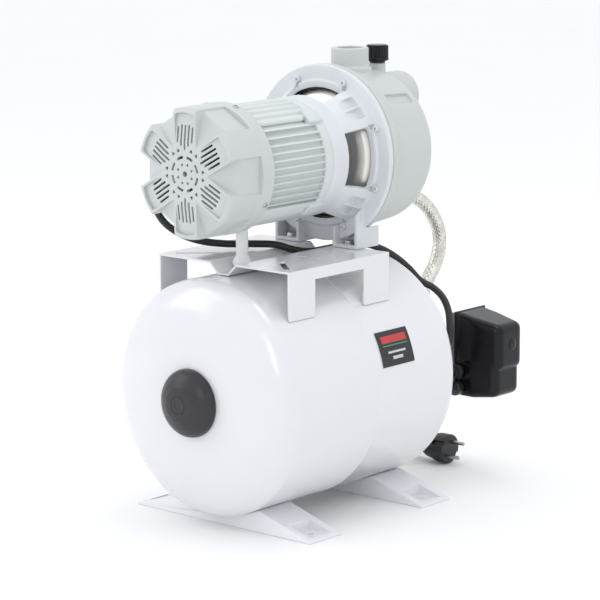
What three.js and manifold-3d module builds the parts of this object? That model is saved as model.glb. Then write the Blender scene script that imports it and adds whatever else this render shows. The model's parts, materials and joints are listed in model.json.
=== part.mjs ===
// Shallow well jet pump with its induction motor, standing on a horizontal pressure tank.
// Millimetres, +Z up. The pump shaft and the tank both lie along Y, the fan end towards -Y.
import * as THREE from 'three';
import { mergeVertices } from 'three/addons/utils/BufferGeometryUtils.js';
import Module from 'manifold-3d';

const wasm = await Module();
wasm.setup();

// ---------- driving dimensions ----------
const GAP = 0.3;
const FACETS = 0.7;
const ORIGIN_Y = 52.85;

const TANK = { R: 138, WALL: 1.5, Z: 152.4, HALF: 133, DOME: 36, POWER: 2.9, MOUTH: 24, BEAD: 0.6 };
const TANK_FACE = TANK.HALF + TANK.DOME * Math.sqrt(1 - (TANK.MOUTH / TANK.R) ** TANK.POWER);
const CAP = { R: 39.6, WALL: 2.5, FRONT: -190 };
const FOOT = { HALF_W: 134.8, DEPTH: 54.3, FRONT_Y: -119.3, REAR_Y: 82.7, SHEET: 2.5, LIP: 2.5,
  CREST_X: 57, CREST_Z: 26.2, PANEL_Z: 3, HOLE: 4 };
const SADDLE = { HALF_W: 100, Y0: -113, Y1: 64, TOP: 305.6, SHEET: 2.5, TROUGH_TOP: 19.5, TROUGH_BOT: 7,
  TROUGH_Z: 293.3, WIN_Y0: -68, WIN_Y1: 18, WIN_TOP: 292 };
const SHAFT_Z = 413.8;
const FAN_COVER = { R: 75, FRONT: -173.8, REAR: -107, WALL: 2.5, PETAL_R: 72, PETAL_W: 34 };
const HOUSING = { CORE_R: 63, FIN_R: 70.5, BORE_R: 57.8, Y0: -106.7, Y1: 0, FIN_PITCH: 8.4, FIN_T: 3 };
const ADAPTER = { BELL_R: 70.5, BELL_Y: 26, RING_Y0: 59.8, RING_Y1: 66.5, RING_R: 104, RING_IN: 78.5,
  BOLT_PCR: 91.5, BOLTS: 8, WINDOW_HALF_DEG: 26 };
const LEG = { X0: 26, X1: 63.5, Y0: 49, Y1: 90, WEB_Y: 69, SHEET: 4, TOP: 356 };
const CASING = { FLANGE_Y: 66.8, FLANGE_END: 76, DRUM_R: 96, REAR_R: 90, DRUM_Y: 148, CORNER: 14, WALL: 6,
  SEAT_R: 86 };
const LOBE = { R: 29, Z: 470, Y0: 120, Y1: 213, BORE: 15.3 };
const DISCHARGE = { Y: 112.7, R: 22.3, TOP: 534, BORE: 15.3 };
const PRIMING = { Y: 164, NECK_R: 10, NECK_TOP: 512, BORE: 7.2, HEAD_R: 13.8, TOP: 533.5 };
const TAPPING_Z = 352;
const DRAIN_X = 38;
const MANIFOLD_Y = 254;
const SWITCH = { X0: 66, DEPTH: 67, Y0: 225, Y1: 285, Z0: 102, Z1: 207 };
const LEAD_D = 8.5;
const HOSE_D = 17;

// ---------- materials ----------
const WHITE_PAINT = { color: 0xe9eaee, roughness: 0.35, metalness: 0.0 };
const GREY_PAINT = { color: 0xc9cfce, roughness: 0.5, metalness: 0.0 };
const CAST = { color: 0xdde2e6, roughness: 0.55, metalness: 0.1 };
const BLACK = { color: 0x1d1c1f, roughness: 0.4, metalness: 0.0 };
const RUBBER = { color: 0x18181a, roughness: 0.8, metalness: 0.0 };
const STEEL = { color: 0xa9a9a6, roughness: 0.3, metalness: 0.9 };
const BRASS = { color: 0xb99a55, roughness: 0.35, metalness: 0.9 };
const COPPER = { color: 0xa8603a, roughness: 0.5, metalness: 0.7 };
const IRON = { color: 0x77787a, roughness: 0.5, metalness: 0.8 };
const PALE_PLASTIC = { color: 0xd8d8d2, roughness: 0.6, metalness: 0.0 };

const group = new THREE.Group();
group.name = 'shallow_well_jet_pump';

// ---------- geometry helpers ----------
function solidOf(geometry) {
  let g = geometry.index ? geometry.toNonIndexed() : geometry.clone();
  g.deleteAttribute('normal');
  g.deleteAttribute('uv');
  g = mergeVertices(g, 1e-4);
  const p = g.attributes.position;
  const raw = Array.from(g.index.array);
  const tris = [];
  let volume = 0;
  const a = new THREE.Vector3();
  const b = new THREE.Vector3();
  const c = new THREE.Vector3();
  for (let i = 0; i < raw.length; i += 3) {
    const t = raw.slice(i, i + 3);
    if (t[0] === t[1] || t[1] === t[2] || t[2] === t[0]) continue;
    tris.push(...t);
    a.fromBufferAttribute(p, t[0]);
    b.fromBufferAttribute(p, t[1]);
    c.fromBufferAttribute(p, t[2]);
    volume += a.dot(b.cross(c));
  }
  if (volume < 0) tris.reverse();
  const mesh = new wasm.Mesh({
    numProp: 3,
    vertProperties: new Float32Array(p.array),
    triVerts: new Uint32Array(tris),
  });
  return new wasm.Manifold(mesh);
}

function asSolid(item) {
  return item instanceof THREE.BufferGeometry ? solidOf(item) : item;
}

function join(...items) {
  return items.map(asSolid).reduce((sum, item) => sum.add(item));
}

function cut(base, ...tools) {
  return tools.map(asSolid).reduce((left, tool) => left.subtract(tool), asSolid(base));
}

function common(a, b) {
  return asSolid(a).intersect(asSolid(b));
}

function put(name, item, look) {
  const mesh = asSolid(item).getMesh();
  const geometry = new THREE.BufferGeometry();
  geometry.setAttribute('position', new THREE.BufferAttribute(new Float32Array(mesh.vertProperties), 3));
  geometry.setIndex(new THREE.BufferAttribute(new Uint32Array(mesh.triVerts), 1));
  geometry.translate(0, -ORIGIN_Y, 0);
  geometry.computeVertexNormals();
  const node = new THREE.Mesh(geometry, new THREE.MeshStandardMaterial(look));
  node.name = name;
  group.add(node);
}

// Turned about the Y axis; each point is [radius, y]. The profile is closed on itself or on the axis.
function turned(points, segments = 36, z = 0, x = 0) {
  const sides = segments <= 8 ? segments : 4 * Math.max(3, Math.round((segments * FACETS) / 4));
  const g = new THREE.LatheGeometry(points.map(([r, y]) => new THREE.Vector2(r, y)), sides);
  g.translate(x, 0, z);
  return g;
}

function closed(points) {
  return [...points, points[0]];
}

function tubeProfile(r0, r1, y0, y1) {
  return closed([[r0, y0], [r1, y0], [r1, y1], [r0, y1]]);
}

function rodProfile(r, y0, y1) {
  return [[0, y0], [r, y0], [r, y1], [0, y1]];
}

// The same turned profile standing on Z (points are [radius, z]) or lying along X (points are [radius, x]).
function turnedZ(points, segments = 28, x = 0, y = 0) {
  const g = turned(points, segments);
  g.rotateX(Math.PI / 2);
  g.translate(x, y, 0);
  return g;
}

function turnedX(points, segments = 28, y = 0, z = 0) {
  const g = turned(points, segments);
  g.rotateZ(-Math.PI / 2);
  g.translate(0, y, z);
  return g;
}

function block(x0, x1, y0, y1, z0, z1) {
  const g = new THREE.BoxGeometry(x1 - x0, y1 - y0, z1 - z0);
  g.translate((x0 + x1) / 2, (y0 + y1) / 2, (z0 + z1) / 2);
  return g;
}

// An outline in X and Z, pushed along Y from y0 to y1.
function pushedY(outline, y0, y1) {
  const shape = new THREE.Shape(outline.map(([x, z]) => new THREE.Vector2(x, z)));
  const g = new THREE.ExtrudeGeometry(shape, { depth: y1 - y0, bevelEnabled: false });
  g.rotateX(Math.PI / 2);
  g.translate(0, y1, 0);
  return g;
}

// An outline in X and Y, pushed along Z from z0 to z1.
function pushedZ(outline, z0, z1) {
  const shape = new THREE.Shape(outline.map(([x, y]) => new THREE.Vector2(x, y)));
  const g = new THREE.ExtrudeGeometry(shape, { depth: z1 - z0, bevelEnabled: false });
  g.translate(0, 0, z0);
  return g;
}

// An outline in Y and Z, pushed along X from x0 to x1.
function pushedX(outline, x0, x1) {
  const g = pushedZ(outline, x0, x1);
  g.applyMatrix4(new THREE.Matrix4().set(0, 0, 1, 0, 1, 0, 0, 0, 0, 1, 0, 0, 0, 0, 0, 1));
  return g;
}

function turnAboutShaft(item, degrees) {
  return asSolid(item).translate([0, 0, -SHAFT_Z]).rotate([0, degrees, 0]).translate([0, 0, SHAFT_Z]);
}

function hose(points, diameter, sides, steps) {
  const path = new THREE.CatmullRomCurve3(points.map((p) => new THREE.Vector3(...p)), false, 'centripetal');
  const ring = new THREE.Shape();
  for (let i = 0; i < sides; i += 1) {
    const a = (i / sides) * 2 * Math.PI;
    const x = (diameter / 2) * Math.cos(a);
    const y = (diameter / 2) * Math.sin(a);
    if (i === 0) ring.moveTo(x, y);
    else ring.lineTo(x, y);
  }
  return new THREE.ExtrudeGeometry(ring, { steps, bevelEnabled: false, extrudePath: path });
}

function domeY(r, radius = TANK.R, half = TANK.HALF, depth = TANK.DOME) {
  return half + depth * Math.sqrt(Math.max(0, 1 - (r / radius) ** TANK.POWER));
}

// ---------- pressure tank ----------
const DOME_STEPS = [1, 0.97, 0.9, 0.78, 0.55];
const DOME_STEPS_IN = [1, 0.86];
function tankProfile() {
  const inner = TANK.R - TANK.WALL;
  const beadR = TANK.R + TANK.BEAD;
  const outerDome = DOME_STEPS.map((k) => [TANK.R * k, domeY(TANK.R * k)]);
  outerDome.push([TANK.MOUTH, TANK_FACE]);
  const innerDome = DOME_STEPS_IN.map((k) => [inner * k, domeY(inner * k, inner) - TANK.WALL]);
  innerDome.push([TANK.MOUTH, TANK_FACE - TANK.WALL]);
  const front = (pts) => pts.map(([r, y]) => [r, -y]);
  return closed([
    ...front(outerDome).reverse(),
    [TANK.R, -3], [beadR, 0], [TANK.R, 3],
    ...outerDome,
    ...innerDome.slice().reverse(),
    ...front(innerDome),
  ]);
}
put('tank_shell', turned(tankProfile(), 57, TANK.Z), WHITE_PAINT);

const BLADDER = { R: 128, WALL: 2.5, END: 118, NECK: 21, TIP: 166 };
put('tank_bladder', turned([
  [0, -150], [100, -138], [BLADDER.R, -112], [BLADDER.R, BLADDER.END], [100, 142],
  [BLADDER.NECK, 158], [BLADDER.NECK, BLADDER.TIP], [BLADDER.NECK - BLADDER.WALL, BLADDER.TIP],
  [BLADDER.NECK - BLADDER.WALL, 155], [98, 139], [BLADDER.R - BLADDER.WALL, 116],
  [BLADDER.R - BLADDER.WALL, -110], [98, -135], [0, -147],
], 24, TANK.Z), RUBBER);

const VALVE_Y = -TANK_FACE - GAP;
put('tank_air_valve', turned([
  [0, VALVE_Y], [30, VALVE_Y], [30, VALVE_Y - 2.5], [9, VALVE_Y - 2.5], [8, VALVE_Y - 6], [4, VALVE_Y - 7],
  [4, VALVE_Y - 14], [0, VALVE_Y - 14],
], 16, TANK.Z), BRASS);

put('tank_air_cap', turned([
  [0, CAP.FRONT], [13, CAP.FRONT + 0.6], [25, CAP.FRONT + 3.4], [34, CAP.FRONT + 8.6], [38.6, CAP.FRONT + 14],
  [CAP.R, CAP.FRONT + 18], [CAP.R, -TANK_FACE - 0.5], [CAP.R - CAP.WALL, -TANK_FACE - 0.5],
  [CAP.R - CAP.WALL - 1, CAP.FRONT + 16], [32, CAP.FRONT + 10], [22, CAP.FRONT + 5.5], [0, CAP.FRONT + 3],
], 24, TANK.Z), BLACK);

const FLANGE_Y = TANK_FACE + GAP;
const NECK_END = 186;
function hexProfileX(across, x0, x1) {
  return turnedX(rodProfile(across / Math.sqrt(3), x0, x1), 6);
}
function hexY(across, y0, y1, x, z) {
  return turned(rodProfile(across / Math.sqrt(3), y0, y1), 6, z, x);
}
function hexZ(across, z0, z1, x, y) {
  return turnedZ(rodProfile(across / Math.sqrt(3), z0, z1), 6, x, y);
}
const FLANGE_BOLTS = 6;
const FLANGE_PCR = 37;
const flangeHeads = Array.from({ length: FLANGE_BOLTS }, (_, i) => {
  const a = ((i + 0.5) / FLANGE_BOLTS) * 2 * Math.PI;
  return hexY(10, FLANGE_Y + 3, FLANGE_Y + 9.3, FLANGE_PCR * Math.cos(a), TANK.Z + FLANGE_PCR * Math.sin(a));
});
put('tank_rear_flange', join(
  turned(closed([
    [12.5, FLANGE_Y], [45, FLANGE_Y], [45, FLANGE_Y + 4], [22, FLANGE_Y + 5], [16.5, FLANGE_Y + 8],
    [16.5, NECK_END], [12.5, NECK_END],
  ]), 24, TANK.Z),
  ...flangeHeads,
), STEEL);

// ---------- folded sheet feet ----------
function footOutline(half, bottom, drop) {
  const slope = (FOOT.CREST_Z - FOOT.LIP) / (FOOT.HALF_W - FOOT.CREST_X);
  const n = 14;
  const xs = [-half];
  for (let i = 0; i <= n; i += 1) xs.push(-FOOT.CREST_X + (2 * FOOT.CREST_X * i) / n);
  xs.push(half);
  const top = xs.map((x) => {
    const incline = FOOT.LIP + (FOOT.HALF_W - Math.abs(x)) * slope;
    const arc = TANK.Z - Math.sqrt((TANK.R + GAP) ** 2 - x * x);
    return [x, Math.min(incline, Math.abs(x) > FOOT.CREST_X ? incline : arc) - drop];
  });
  return [[-half, bottom], ...top, [half, bottom]];
}
function foot(y0) {
  const y1 = y0 + FOOT.DEPTH;
  const mid = (y0 + y1) / 2;
  const body = pushedY(footOutline(FOOT.HALF_W, 0, 0), y0, y1);
  const hollow = pushedY(footOutline(92, -1, FOOT.SHEET), y0 + FOOT.SHEET, y1 - FOOT.SHEET);
  const tools = [hollow];
  for (const s of [-1, 1]) {
    const panel = asSolid(block(96, 128, mid - 17, mid + 17, FOOT.PANEL_Z, 40));
    tools.push(panel.scale([s, 1, 1]));
    tools.push(turnedZ(rodProfile(FOOT.HOLE, -1, 9), 16, s * 112, mid));
  }
  return cut(body, ...tools);
}
put('front_foot', foot(FOOT.FRONT_Y), WHITE_PAINT);
put('rear_foot', foot(FOOT.REAR_Y), WHITE_PAINT);

// ---------- pump saddle ----------
function saddle() {
  const w = SADDLE.HALF_W;
  const t = SADDLE.SHEET;
  const top = SADDLE.TOP;
  const low = 240;
  const a = SADDLE.TROUGH_TOP;
  const b = SADDLE.TROUGH_BOT;
  const outline = [
    [-w, low], [-w, top], [-a, top], [-b, SADDLE.TROUGH_Z], [b, SADDLE.TROUGH_Z], [a, top], [w, top],
    [w, low], [w - t, low], [w - t, top - t], [a + 1, top - t], [b + 1, SADDLE.TROUGH_Z - t],
    [-b - 1, SADDLE.TROUGH_Z - t], [-a - 1, top - t], [-w + t, top - t], [-w + t, low],
  ];
  const sheet = pushedY(outline, SADDLE.Y0, SADDLE.Y1);
  const window = block(-w - 2, w + 2, SADDLE.WIN_Y0, SADDLE.WIN_Y1, 230, SADDLE.WIN_TOP);
  const tank = turned(rodProfile(TANK.R + TANK.BEAD + 2 * GAP, -180, 180), 80, TANK.Z);
  const tools = [];
  for (const s of [-1, 1]) {
    const slot = asSolid(block(-26, 26, -3.6, 3.6, top - 6, top + 6)).rotate([0, 0, -42 * s]);
    tools.push(slot.translate([s * 66, -82, 0]));
    const wide = asSolid(block(-21, 21, -2.2, 2.2, top - 6, top + 6));
    tools.push(wide.translate([s * 60, -24, 0]));
    const small = asSolid(block(-8, 8, -2.2, 2.2, top - 6, top + 6));
    tools.push(small.translate([s * 45, 11, 0]));
  }
  return cut(sheet, window, tank, ...tools);
}
put('pump_saddle', saddle(), WHITE_PAINT);

const POST = { R: 7, BASE_R: 10.8, Y: -80, TOP: 352 };
put('motor_support_post', cut(
  turnedZ([
    [0, SADDLE.TROUGH_Z + GAP], [5.6, SADDLE.TROUGH_Z + GAP], [POST.BASE_R, 299.5], [POST.BASE_R, 303.5],
    [POST.R, 310], [POST.R, POST.TOP], [0, POST.TOP],
  ], 24, 0, POST.Y),
  turned(rodProfile(HOUSING.FIN_R + 1.2, -130, -40), 48, SHAFT_Z),
), GREY_PAINT);

// ---------- fan cover ----------
const SLOT = { PITCH: 5.4, WIDTH: 1.8, PER_PETAL: 5, LOW: 24, HIGH: 55, SHRINK: 1.2, STAGGER: 4 };
const FLUTE = { APEX: 34, FLOOR: 69, FLOOR_DY: 13.9, END_DY: 48, REACH: 95 };
const PETALS = 6;
const PETAL_RECESS = 3;

// The gap between two petals: a sloping floor, then a flat one, ending in a step up to the round rim.
// The skin moves its walls outwards, for the inside of the cover.
function flute(skin) {
  const front = FAN_COVER.FRONT - 3;
  const apex = FLUTE.APEX - 2 * skin;
  const floor = FLUTE.FLOOR - skin;
  const slopeEnd = FAN_COVER.FRONT + FLUTE.FLOOR_DY + skin;
  const end = FAN_COVER.FRONT + FLUTE.END_DY + skin;
  const spread = (FLUTE.REACH - apex) * Math.tan(Math.PI / PETALS);
  const gap = pushedY([
    [0, SHAFT_Z + apex], [-spread, SHAFT_Z + FLUTE.REACH], [spread, SHAFT_Z + FLUTE.REACH],
  ], front, end);
  const above = pushedX([
    [front, SHAFT_Z + apex], [FAN_COVER.FRONT + 0.5 * skin, SHAFT_Z + apex], [slopeEnd, SHAFT_Z + floor],
    [end, SHAFT_Z + floor], [end, SHAFT_Z + FLUTE.REACH], [front, SHAFT_Z + FLUTE.REACH],
  ], -spread - 1, spread + 1);
  return common(gap, above);
}
function petalRecess() {
  const half = FAN_COVER.PETAL_W / 2 - 2.8;
  const top = SHAFT_Z + FAN_COVER.PETAL_R - 3.4;
  const low = SHAFT_Z + 56;
  const outline = [[-half, top - 2.6], [0, top], [half, top - 2.6], [half, low], [-half, low]];
  return pushedY(outline, FAN_COVER.FRONT - 1, FAN_COVER.FRONT + PETAL_RECESS);
}
function petalSlots(k) {
  return Array.from({ length: SLOT.PER_PETAL }, (_, j) => {
    const fromMid = j - (SLOT.PER_PETAL - 1) / 2;
    const x = fromMid * SLOT.PITCH;
    const low = SHAFT_Z + SLOT.LOW + Math.abs(fromMid) * SLOT.STAGGER;
    const high = SHAFT_Z + SLOT.HIGH - Math.abs(fromMid) * SLOT.SHRINK;
    const front = FAN_COVER.FRONT - 2;
    const slot = block(x - SLOT.WIDTH / 2, x + SLOT.WIDTH / 2, front, front + 11, low, high);
    return turnAboutShaft(slot, k * 60);
  });
}
function fanCover() {
  const f = FAN_COVER.FRONT;
  const skin = FAN_COVER.WALL;
  const r = FAN_COVER.R;
  const outside = asSolid(turned([
    [0, f], [69, f], [72.6, f + 2.4], [r - 0.6, f + 8], [r - 0.6, f + 50], [r, f + 52], [r, FAN_COVER.REAR],
    [0, FAN_COVER.REAR],
  ], 40, SHAFT_Z));
  const inside = asSolid(turned([
    [0, f + 5.8], [69, f + 5.8], [r - 0.6 - skin, f + 10], [r - skin, f + 52], [r - skin, FAN_COVER.REAR + 1],
    [0, FAN_COVER.REAR + 1],
  ], 40, SHAFT_Z));
  const turns = Array.from({ length: PETALS }, (_, k) => k * 60);
  const outerFlutes = turns.map((a) => turnAboutShaft(flute(0), a + 30));
  const innerFlutes = turns.map((a) => turnAboutShaft(flute(skin), a + 30));
  const recesses = turns.map((a) => turnAboutShaft(petalRecess(), a));
  const slots = turns.flatMap((_, k) => petalSlots(k));
  const eye = turned(rodProfile(3.4, f - 2, f + 9), 12, SHAFT_Z);
  const shell = cut(outside, ...outerFlutes).subtract(cut(inside, ...innerFlutes));
  return cut(shell, eye, ...recesses, ...slots);
}
put('fan_cover', fanCover(), GREY_PAINT);

// ---------- motor ----------
const FIN_LOW_SIN = -0.62;
const FIN_HIGH_SIN = 0.74;
const TOP_RIBS = 5;
const RIB_DEPTH = 3;
function onCircle(r, a) {
  return [r * Math.cos(a), r * Math.sin(a)];
}
function finnedOutline() {
  const pts = [];
  const steps = 10;
  const lowAngle = Math.asin(FIN_LOW_SIN);
  for (let i = 0; i <= steps; i += 1) {
    pts.push(onCircle(HOUSING.FIN_R, -Math.PI / 2 + (lowAngle + Math.PI / 2) * (i / steps)));
  }
  const z0 = HOUSING.FIN_R * FIN_LOW_SIN + 5;
  const half = HOUSING.FIN_T / 2;
  const fins = Math.floor((HOUSING.FIN_R * FIN_HIGH_SIN - z0) / HOUSING.FIN_PITCH);
  const root = (z) => Math.sqrt(HOUSING.CORE_R ** 2 - Math.min(z, HOUSING.CORE_R - 1) ** 2);
  for (let k = 0; k <= fins; k += 1) {
    const z = z0 + k * HOUSING.FIN_PITCH;
    const reach = Math.sqrt(HOUSING.FIN_R ** 2 - (z + half) ** 2);
    pts.push([root(z - half), z - half], [reach, z - half], [reach, z + half], [root(z + half), z + half]);
  }
  const ribStart = Math.asin(FIN_HIGH_SIN) + 0.07;
  const ribStep = (Math.PI / 2 - ribStart) / TOP_RIBS;
  for (let i = 0; i < TOP_RIBS; i += 1) {
    const a = ribStart + ribStep * i;
    pts.push(onCircle(HOUSING.FIN_R - RIB_DEPTH, a), onCircle(HOUSING.FIN_R, a + ribStep * 0.2));
    pts.push(onCircle(HOUSING.FIN_R, a + ribStep * 0.6));
    pts.push(onCircle(HOUSING.FIN_R - RIB_DEPTH, a + ribStep * 0.8));
  }
  const left = pts.slice(1).reverse().map(([x, z]) => [-x, z]);
  return [...pts, ...left].map(([x, z]) => [x, z + SHAFT_Z]);
}
const terminalPad = block(-80, -60, -88, -14, SHAFT_Z - 26, SHAFT_Z + 26);
put('motor_housing', cut(
  join(
    pushedY(finnedOutline(), HOUSING.Y0, HOUSING.Y1),
    turned(tubeProfile(60, 69, HOUSING.Y1 - 9, HOUSING.Y1), 40, SHAFT_Z),
    terminalPad,
  ),
  turned(rodProfile(HOUSING.BORE_R, HOUSING.Y0 - 1, HOUSING.Y1 + 1), 36, SHAFT_Z),
), GREY_PAINT);

const STACK = { Y0: -85, Y1: -25, ROTOR_R: 35.5, SHAFT_R: 7 };
put('stator_core', turned(tubeProfile(39, 57, STACK.Y0, STACK.Y1), 28, SHAFT_Z), IRON);
put('stator_winding', turned(closed([
  [36.3, STACK.Y0 - 14], [54, STACK.Y0 - 14], [54, STACK.Y0 - GAP], [38.7, STACK.Y0 - GAP],
  [38.7, STACK.Y1 + GAP], [54, STACK.Y1 + GAP], [54, STACK.Y1 + 14], [36.3, STACK.Y1 + 14],
]), 28, SHAFT_Z), COPPER);
put('rotor_core', turned(
  tubeProfile(STACK.SHAFT_R + GAP, STACK.ROTOR_R, STACK.Y0, STACK.Y1), 24, SHAFT_Z,
), IRON);
put('motor_shaft', turned([
  [0, -164], [6.5, -164], [6.5, -103.5], [STACK.SHAFT_R, -103.5], [STACK.SHAFT_R, -8], [8.5, -8],
  [8.5, 104], [5, 105], [5, 111.8], [0, 111.8],
], 20, SHAFT_Z), STEEL);
put('bearing_fan_end', turned(tubeProfile(7.4, 17.5, -102, -91.5), 24, SHAFT_Z), STEEL);
put('bearing_drive_end', turned(tubeProfile(8.9, 20, 0.6, 12), 24, SHAFT_Z), STEEL);
put('end_shield', turned(closed([
  [7.6, -106.4], [57, -106.4], [57, -100.2], [24, -100.2], [21, -92], [17.8, -92],
  [17.8, -102.6], [7.6, -102.6],
]), 28, SHAFT_Z), CAST);

function coolingFan() {
  const hub = turned(tubeProfile(6.8, 15, -160, -142), 20, SHAFT_Z);
  const disc = turned(tubeProfile(6.8, 50, -144, -142), 24, SHAFT_Z);
  const blade = asSolid(block(-1, 1, -160, -143, SHAFT_Z + 12, SHAFT_Z + 56));
  const blades = Array.from({ length: 6 }, (_, i) => turnAboutShaft(blade, i * 60));
  return join(hub, disc, ...blades);
}
put('cooling_fan', coolingFan(), BLACK);

// ---------- terminal box on the hidden side ----------
const BOX = { X0: -112, X1: -80.3, Y0: -84, Y1: -18, Z0: SHAFT_Z - 30, Z1: SHAFT_Z + 30, WALL: 2.5 };
const GLAND_Z = SHAFT_Z - 14;
const LEAD_EXIT_X = -98;
put('terminal_box', cut(
  block(BOX.X0, BOX.X1, BOX.Y0, BOX.Y1, BOX.Z0, BOX.Z1),
  block(
    BOX.X0 - 1, BOX.X1 - BOX.WALL, BOX.Y0 + BOX.WALL, BOX.Y1 - BOX.WALL, BOX.Z0 + BOX.WALL, BOX.Z1 - BOX.WALL,
  ),
  turned(rodProfile(6.2, BOX.Y0 - 1, BOX.Y0 + 4), 16, GLAND_Z, LEAD_EXIT_X),
), BLACK);
put('terminal_box_cover', join(
  block(BOX.X0 - 6, BOX.X0 - GAP, BOX.Y0, BOX.Y1, BOX.Z0, BOX.Z1),
  block(BOX.X0 - 8, BOX.X0 - 5, BOX.Y0 + 4, BOX.Y1 - 4, BOX.Z0 + 4, BOX.Z1 - 4),
), BLACK);
put('run_capacitor', turned(rodProfile(10, -78, -26), 20, SHAFT_Z + 12, LEAD_EXIT_X), PALE_PLASTIC);
const GLAND_PROFILE = [[5.1, 0], [9, 0], [9, 7], [7.6, 8], [6.6, 19], [5.1, 19]];
function glandAlongMinusY(x, y, z, length) {
  const k = length / 19;
  return turned(closed(GLAND_PROFILE.map(([r, s]) => [r, y - s * k])), 18, z, x);
}
put('motor_lead_gland', glandAlongMinusY(LEAD_EXIT_X, BOX.Y0 - GAP, GLAND_Z, 15), RUBBER);

// ---------- adapter between motor and pump ----------
function adapter() {
  const bell = turned(closed([
    [20.3, 0.3], [69.5, 0.3], [ADAPTER.BELL_R, 3], [ADAPTER.BELL_R, ADAPTER.BELL_Y], [86, 61],
    [78.5, 61], [66, ADAPTER.BELL_Y + 3], [66, 8], [26, 8], [26, 16], [12, 16], [12, 12.6], [20.3, 12.6],
  ]), 40, SHAFT_Z);
  const ring = turned(
    tubeProfile(ADAPTER.RING_IN, ADAPTER.RING_R, ADAPTER.RING_Y0, ADAPTER.RING_Y1), 48, SHAFT_Z,
  );
  const wedge = Math.tan(THREE.MathUtils.degToRad(ADAPTER.WINDOW_HALF_DEG));
  const window = asSolid(pushedY([
    [0, SHAFT_Z], [-110 * wedge, SHAFT_Z + 110], [110 * wedge, SHAFT_Z + 110],
  ], ADAPTER.BELL_Y, 58));
  const pocket = asSolid(block(-9, 9, 38, 55, SHAFT_Z + 60, SHAFT_Z + 100));
  const tools = [];
  for (let k = 0; k < 4; k += 1) {
    tools.push(turnAboutShaft(window, k * 90));
    tools.push(turnAboutShaft(pocket, 45 + k * 90));
  }
  const legs = [];
  for (const s of [-1, 1]) {
    const xs = (u, v) => (s > 0 ? [u, v] : [-v, -u]);
    const t = LEG.SHEET;
    const z0 = SADDLE.TOP + GAP;
    legs.push(block(...xs(LEG.X0, LEG.X0 + t), LEG.Y0, LEG.Y1, z0, LEG.TOP));
    legs.push(block(...xs(LEG.X1 - t, LEG.X1), LEG.Y0, LEG.Y1, z0, LEG.TOP));
    legs.push(block(...xs(LEG.X0, LEG.X1), LEG.WEB_Y, LEG.WEB_Y + t, z0, LEG.TOP));
    legs.push(block(...xs(LEG.X0, LEG.X1), LEG.Y0, LEG.Y1, z0, z0 + t));
    legs.push(hexZ(10, z0, z0 + t + 5, s * 45, 58));
  }
  const clear = join(
    turned(rodProfile(88, 30, ADAPTER.RING_Y0 + 1), 40, SHAFT_Z),
    turned(rodProfile(ADAPTER.RING_R + GAP, ADAPTER.RING_Y1, 120), 48, SHAFT_Z),
    turned(rodProfile(ADAPTER.RING_IN, ADAPTER.RING_Y0, ADAPTER.RING_Y1 + 1), 40, SHAFT_Z),
  );
  const standing = join(...legs).subtract(clear);
  const heads = [];
  for (let k = 0; k < ADAPTER.BOLTS; k += 1) {
    const a = ((k + 0.5) / ADAPTER.BOLTS) * 2 * Math.PI;
    const x = ADAPTER.BOLT_PCR * Math.cos(a);
    const z = SHAFT_Z + ADAPTER.BOLT_PCR * Math.sin(a);
    heads.push(hexY(9, ADAPTER.RING_Y0 - 4.5, ADAPTER.RING_Y0 + 1, x, z));
  }
  return join(cut(bell, ...tools), ring, standing, ...heads);
}
put('pump_adapter', adapter(), CAST);

// ---------- wet end ----------
put('casing_gasket', turned(tubeProfile(79.8, 86.5, CASING.FLANGE_Y, 68), 32, SHAFT_Z), RUBBER);
put('seal_plate', turned(closed([
  [86.5, 68.3], [79, 68.3], [69.4, 58], [60, 54.5], [21, 53], [21, 54.7], [59, 56.2], [68.6, 59.7],
  [78, 69.9], [86.5, 69.9],
]), 32, SHAFT_Z), STEEL);
put('shaft_seal_seat', turned(tubeProfile(9.3, 20.6, 49, 60), 24, SHAFT_Z), PALE_PLASTIC);
put('shaft_seal_rotating', turned(closed([
  [8.9, 60.3], [15, 60.3], [15, 66], [17, 66], [17, 77], [8.9, 77],
]), 24, SHAFT_Z), RUBBER);

const VANE = { COUNT: 5, STEPS: 3, R0: 20, REACH: 41, SWEEP: 1.15, THICK: 3 };
function vaneOutline() {
  const side = (extra) => Array.from({ length: VANE.STEPS + 1 }, (_, i) => {
    const r = VANE.R0 + (VANE.REACH * i) / VANE.STEPS;
    const a = (i / VANE.STEPS) * VANE.SWEEP + extra / r;
    return [r * Math.sin(a), SHAFT_Z + r * Math.cos(a)];
  });
  return [...side(0), ...side(VANE.THICK).reverse()];
}
function impeller() {
  const hub = turned(closed([[8.9, 78], [14, 78], [14, 96], [12, 103], [8.9, 103]]), 20, SHAFT_Z);
  const back = turned(tubeProfile(8.9, 62, 80, 82.5), 28, SHAFT_Z);
  const front = turned(tubeProfile(24, 62, 90, 92.5), 28, SHAFT_Z);
  const eye = turned(tubeProfile(24, 27, 90, 99), 28, SHAFT_Z);
  const vane = asSolid(pushedY(vaneOutline(), 82, 90.5));
  const vanes = Array.from({ length: VANE.COUNT }, (_, k) => turnAboutShaft(vane, (k * 360) / VANE.COUNT));
  return join(hub, back, front, eye, ...vanes);
}
put('impeller', impeller(), BRASS);
put('impeller_nut', cut(
  hexY(17, 105.4, 111.5, 0, SHAFT_Z),
  turned(rodProfile(5.4, 105, 112), 20, SHAFT_Z),
), STEEL);

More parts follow.
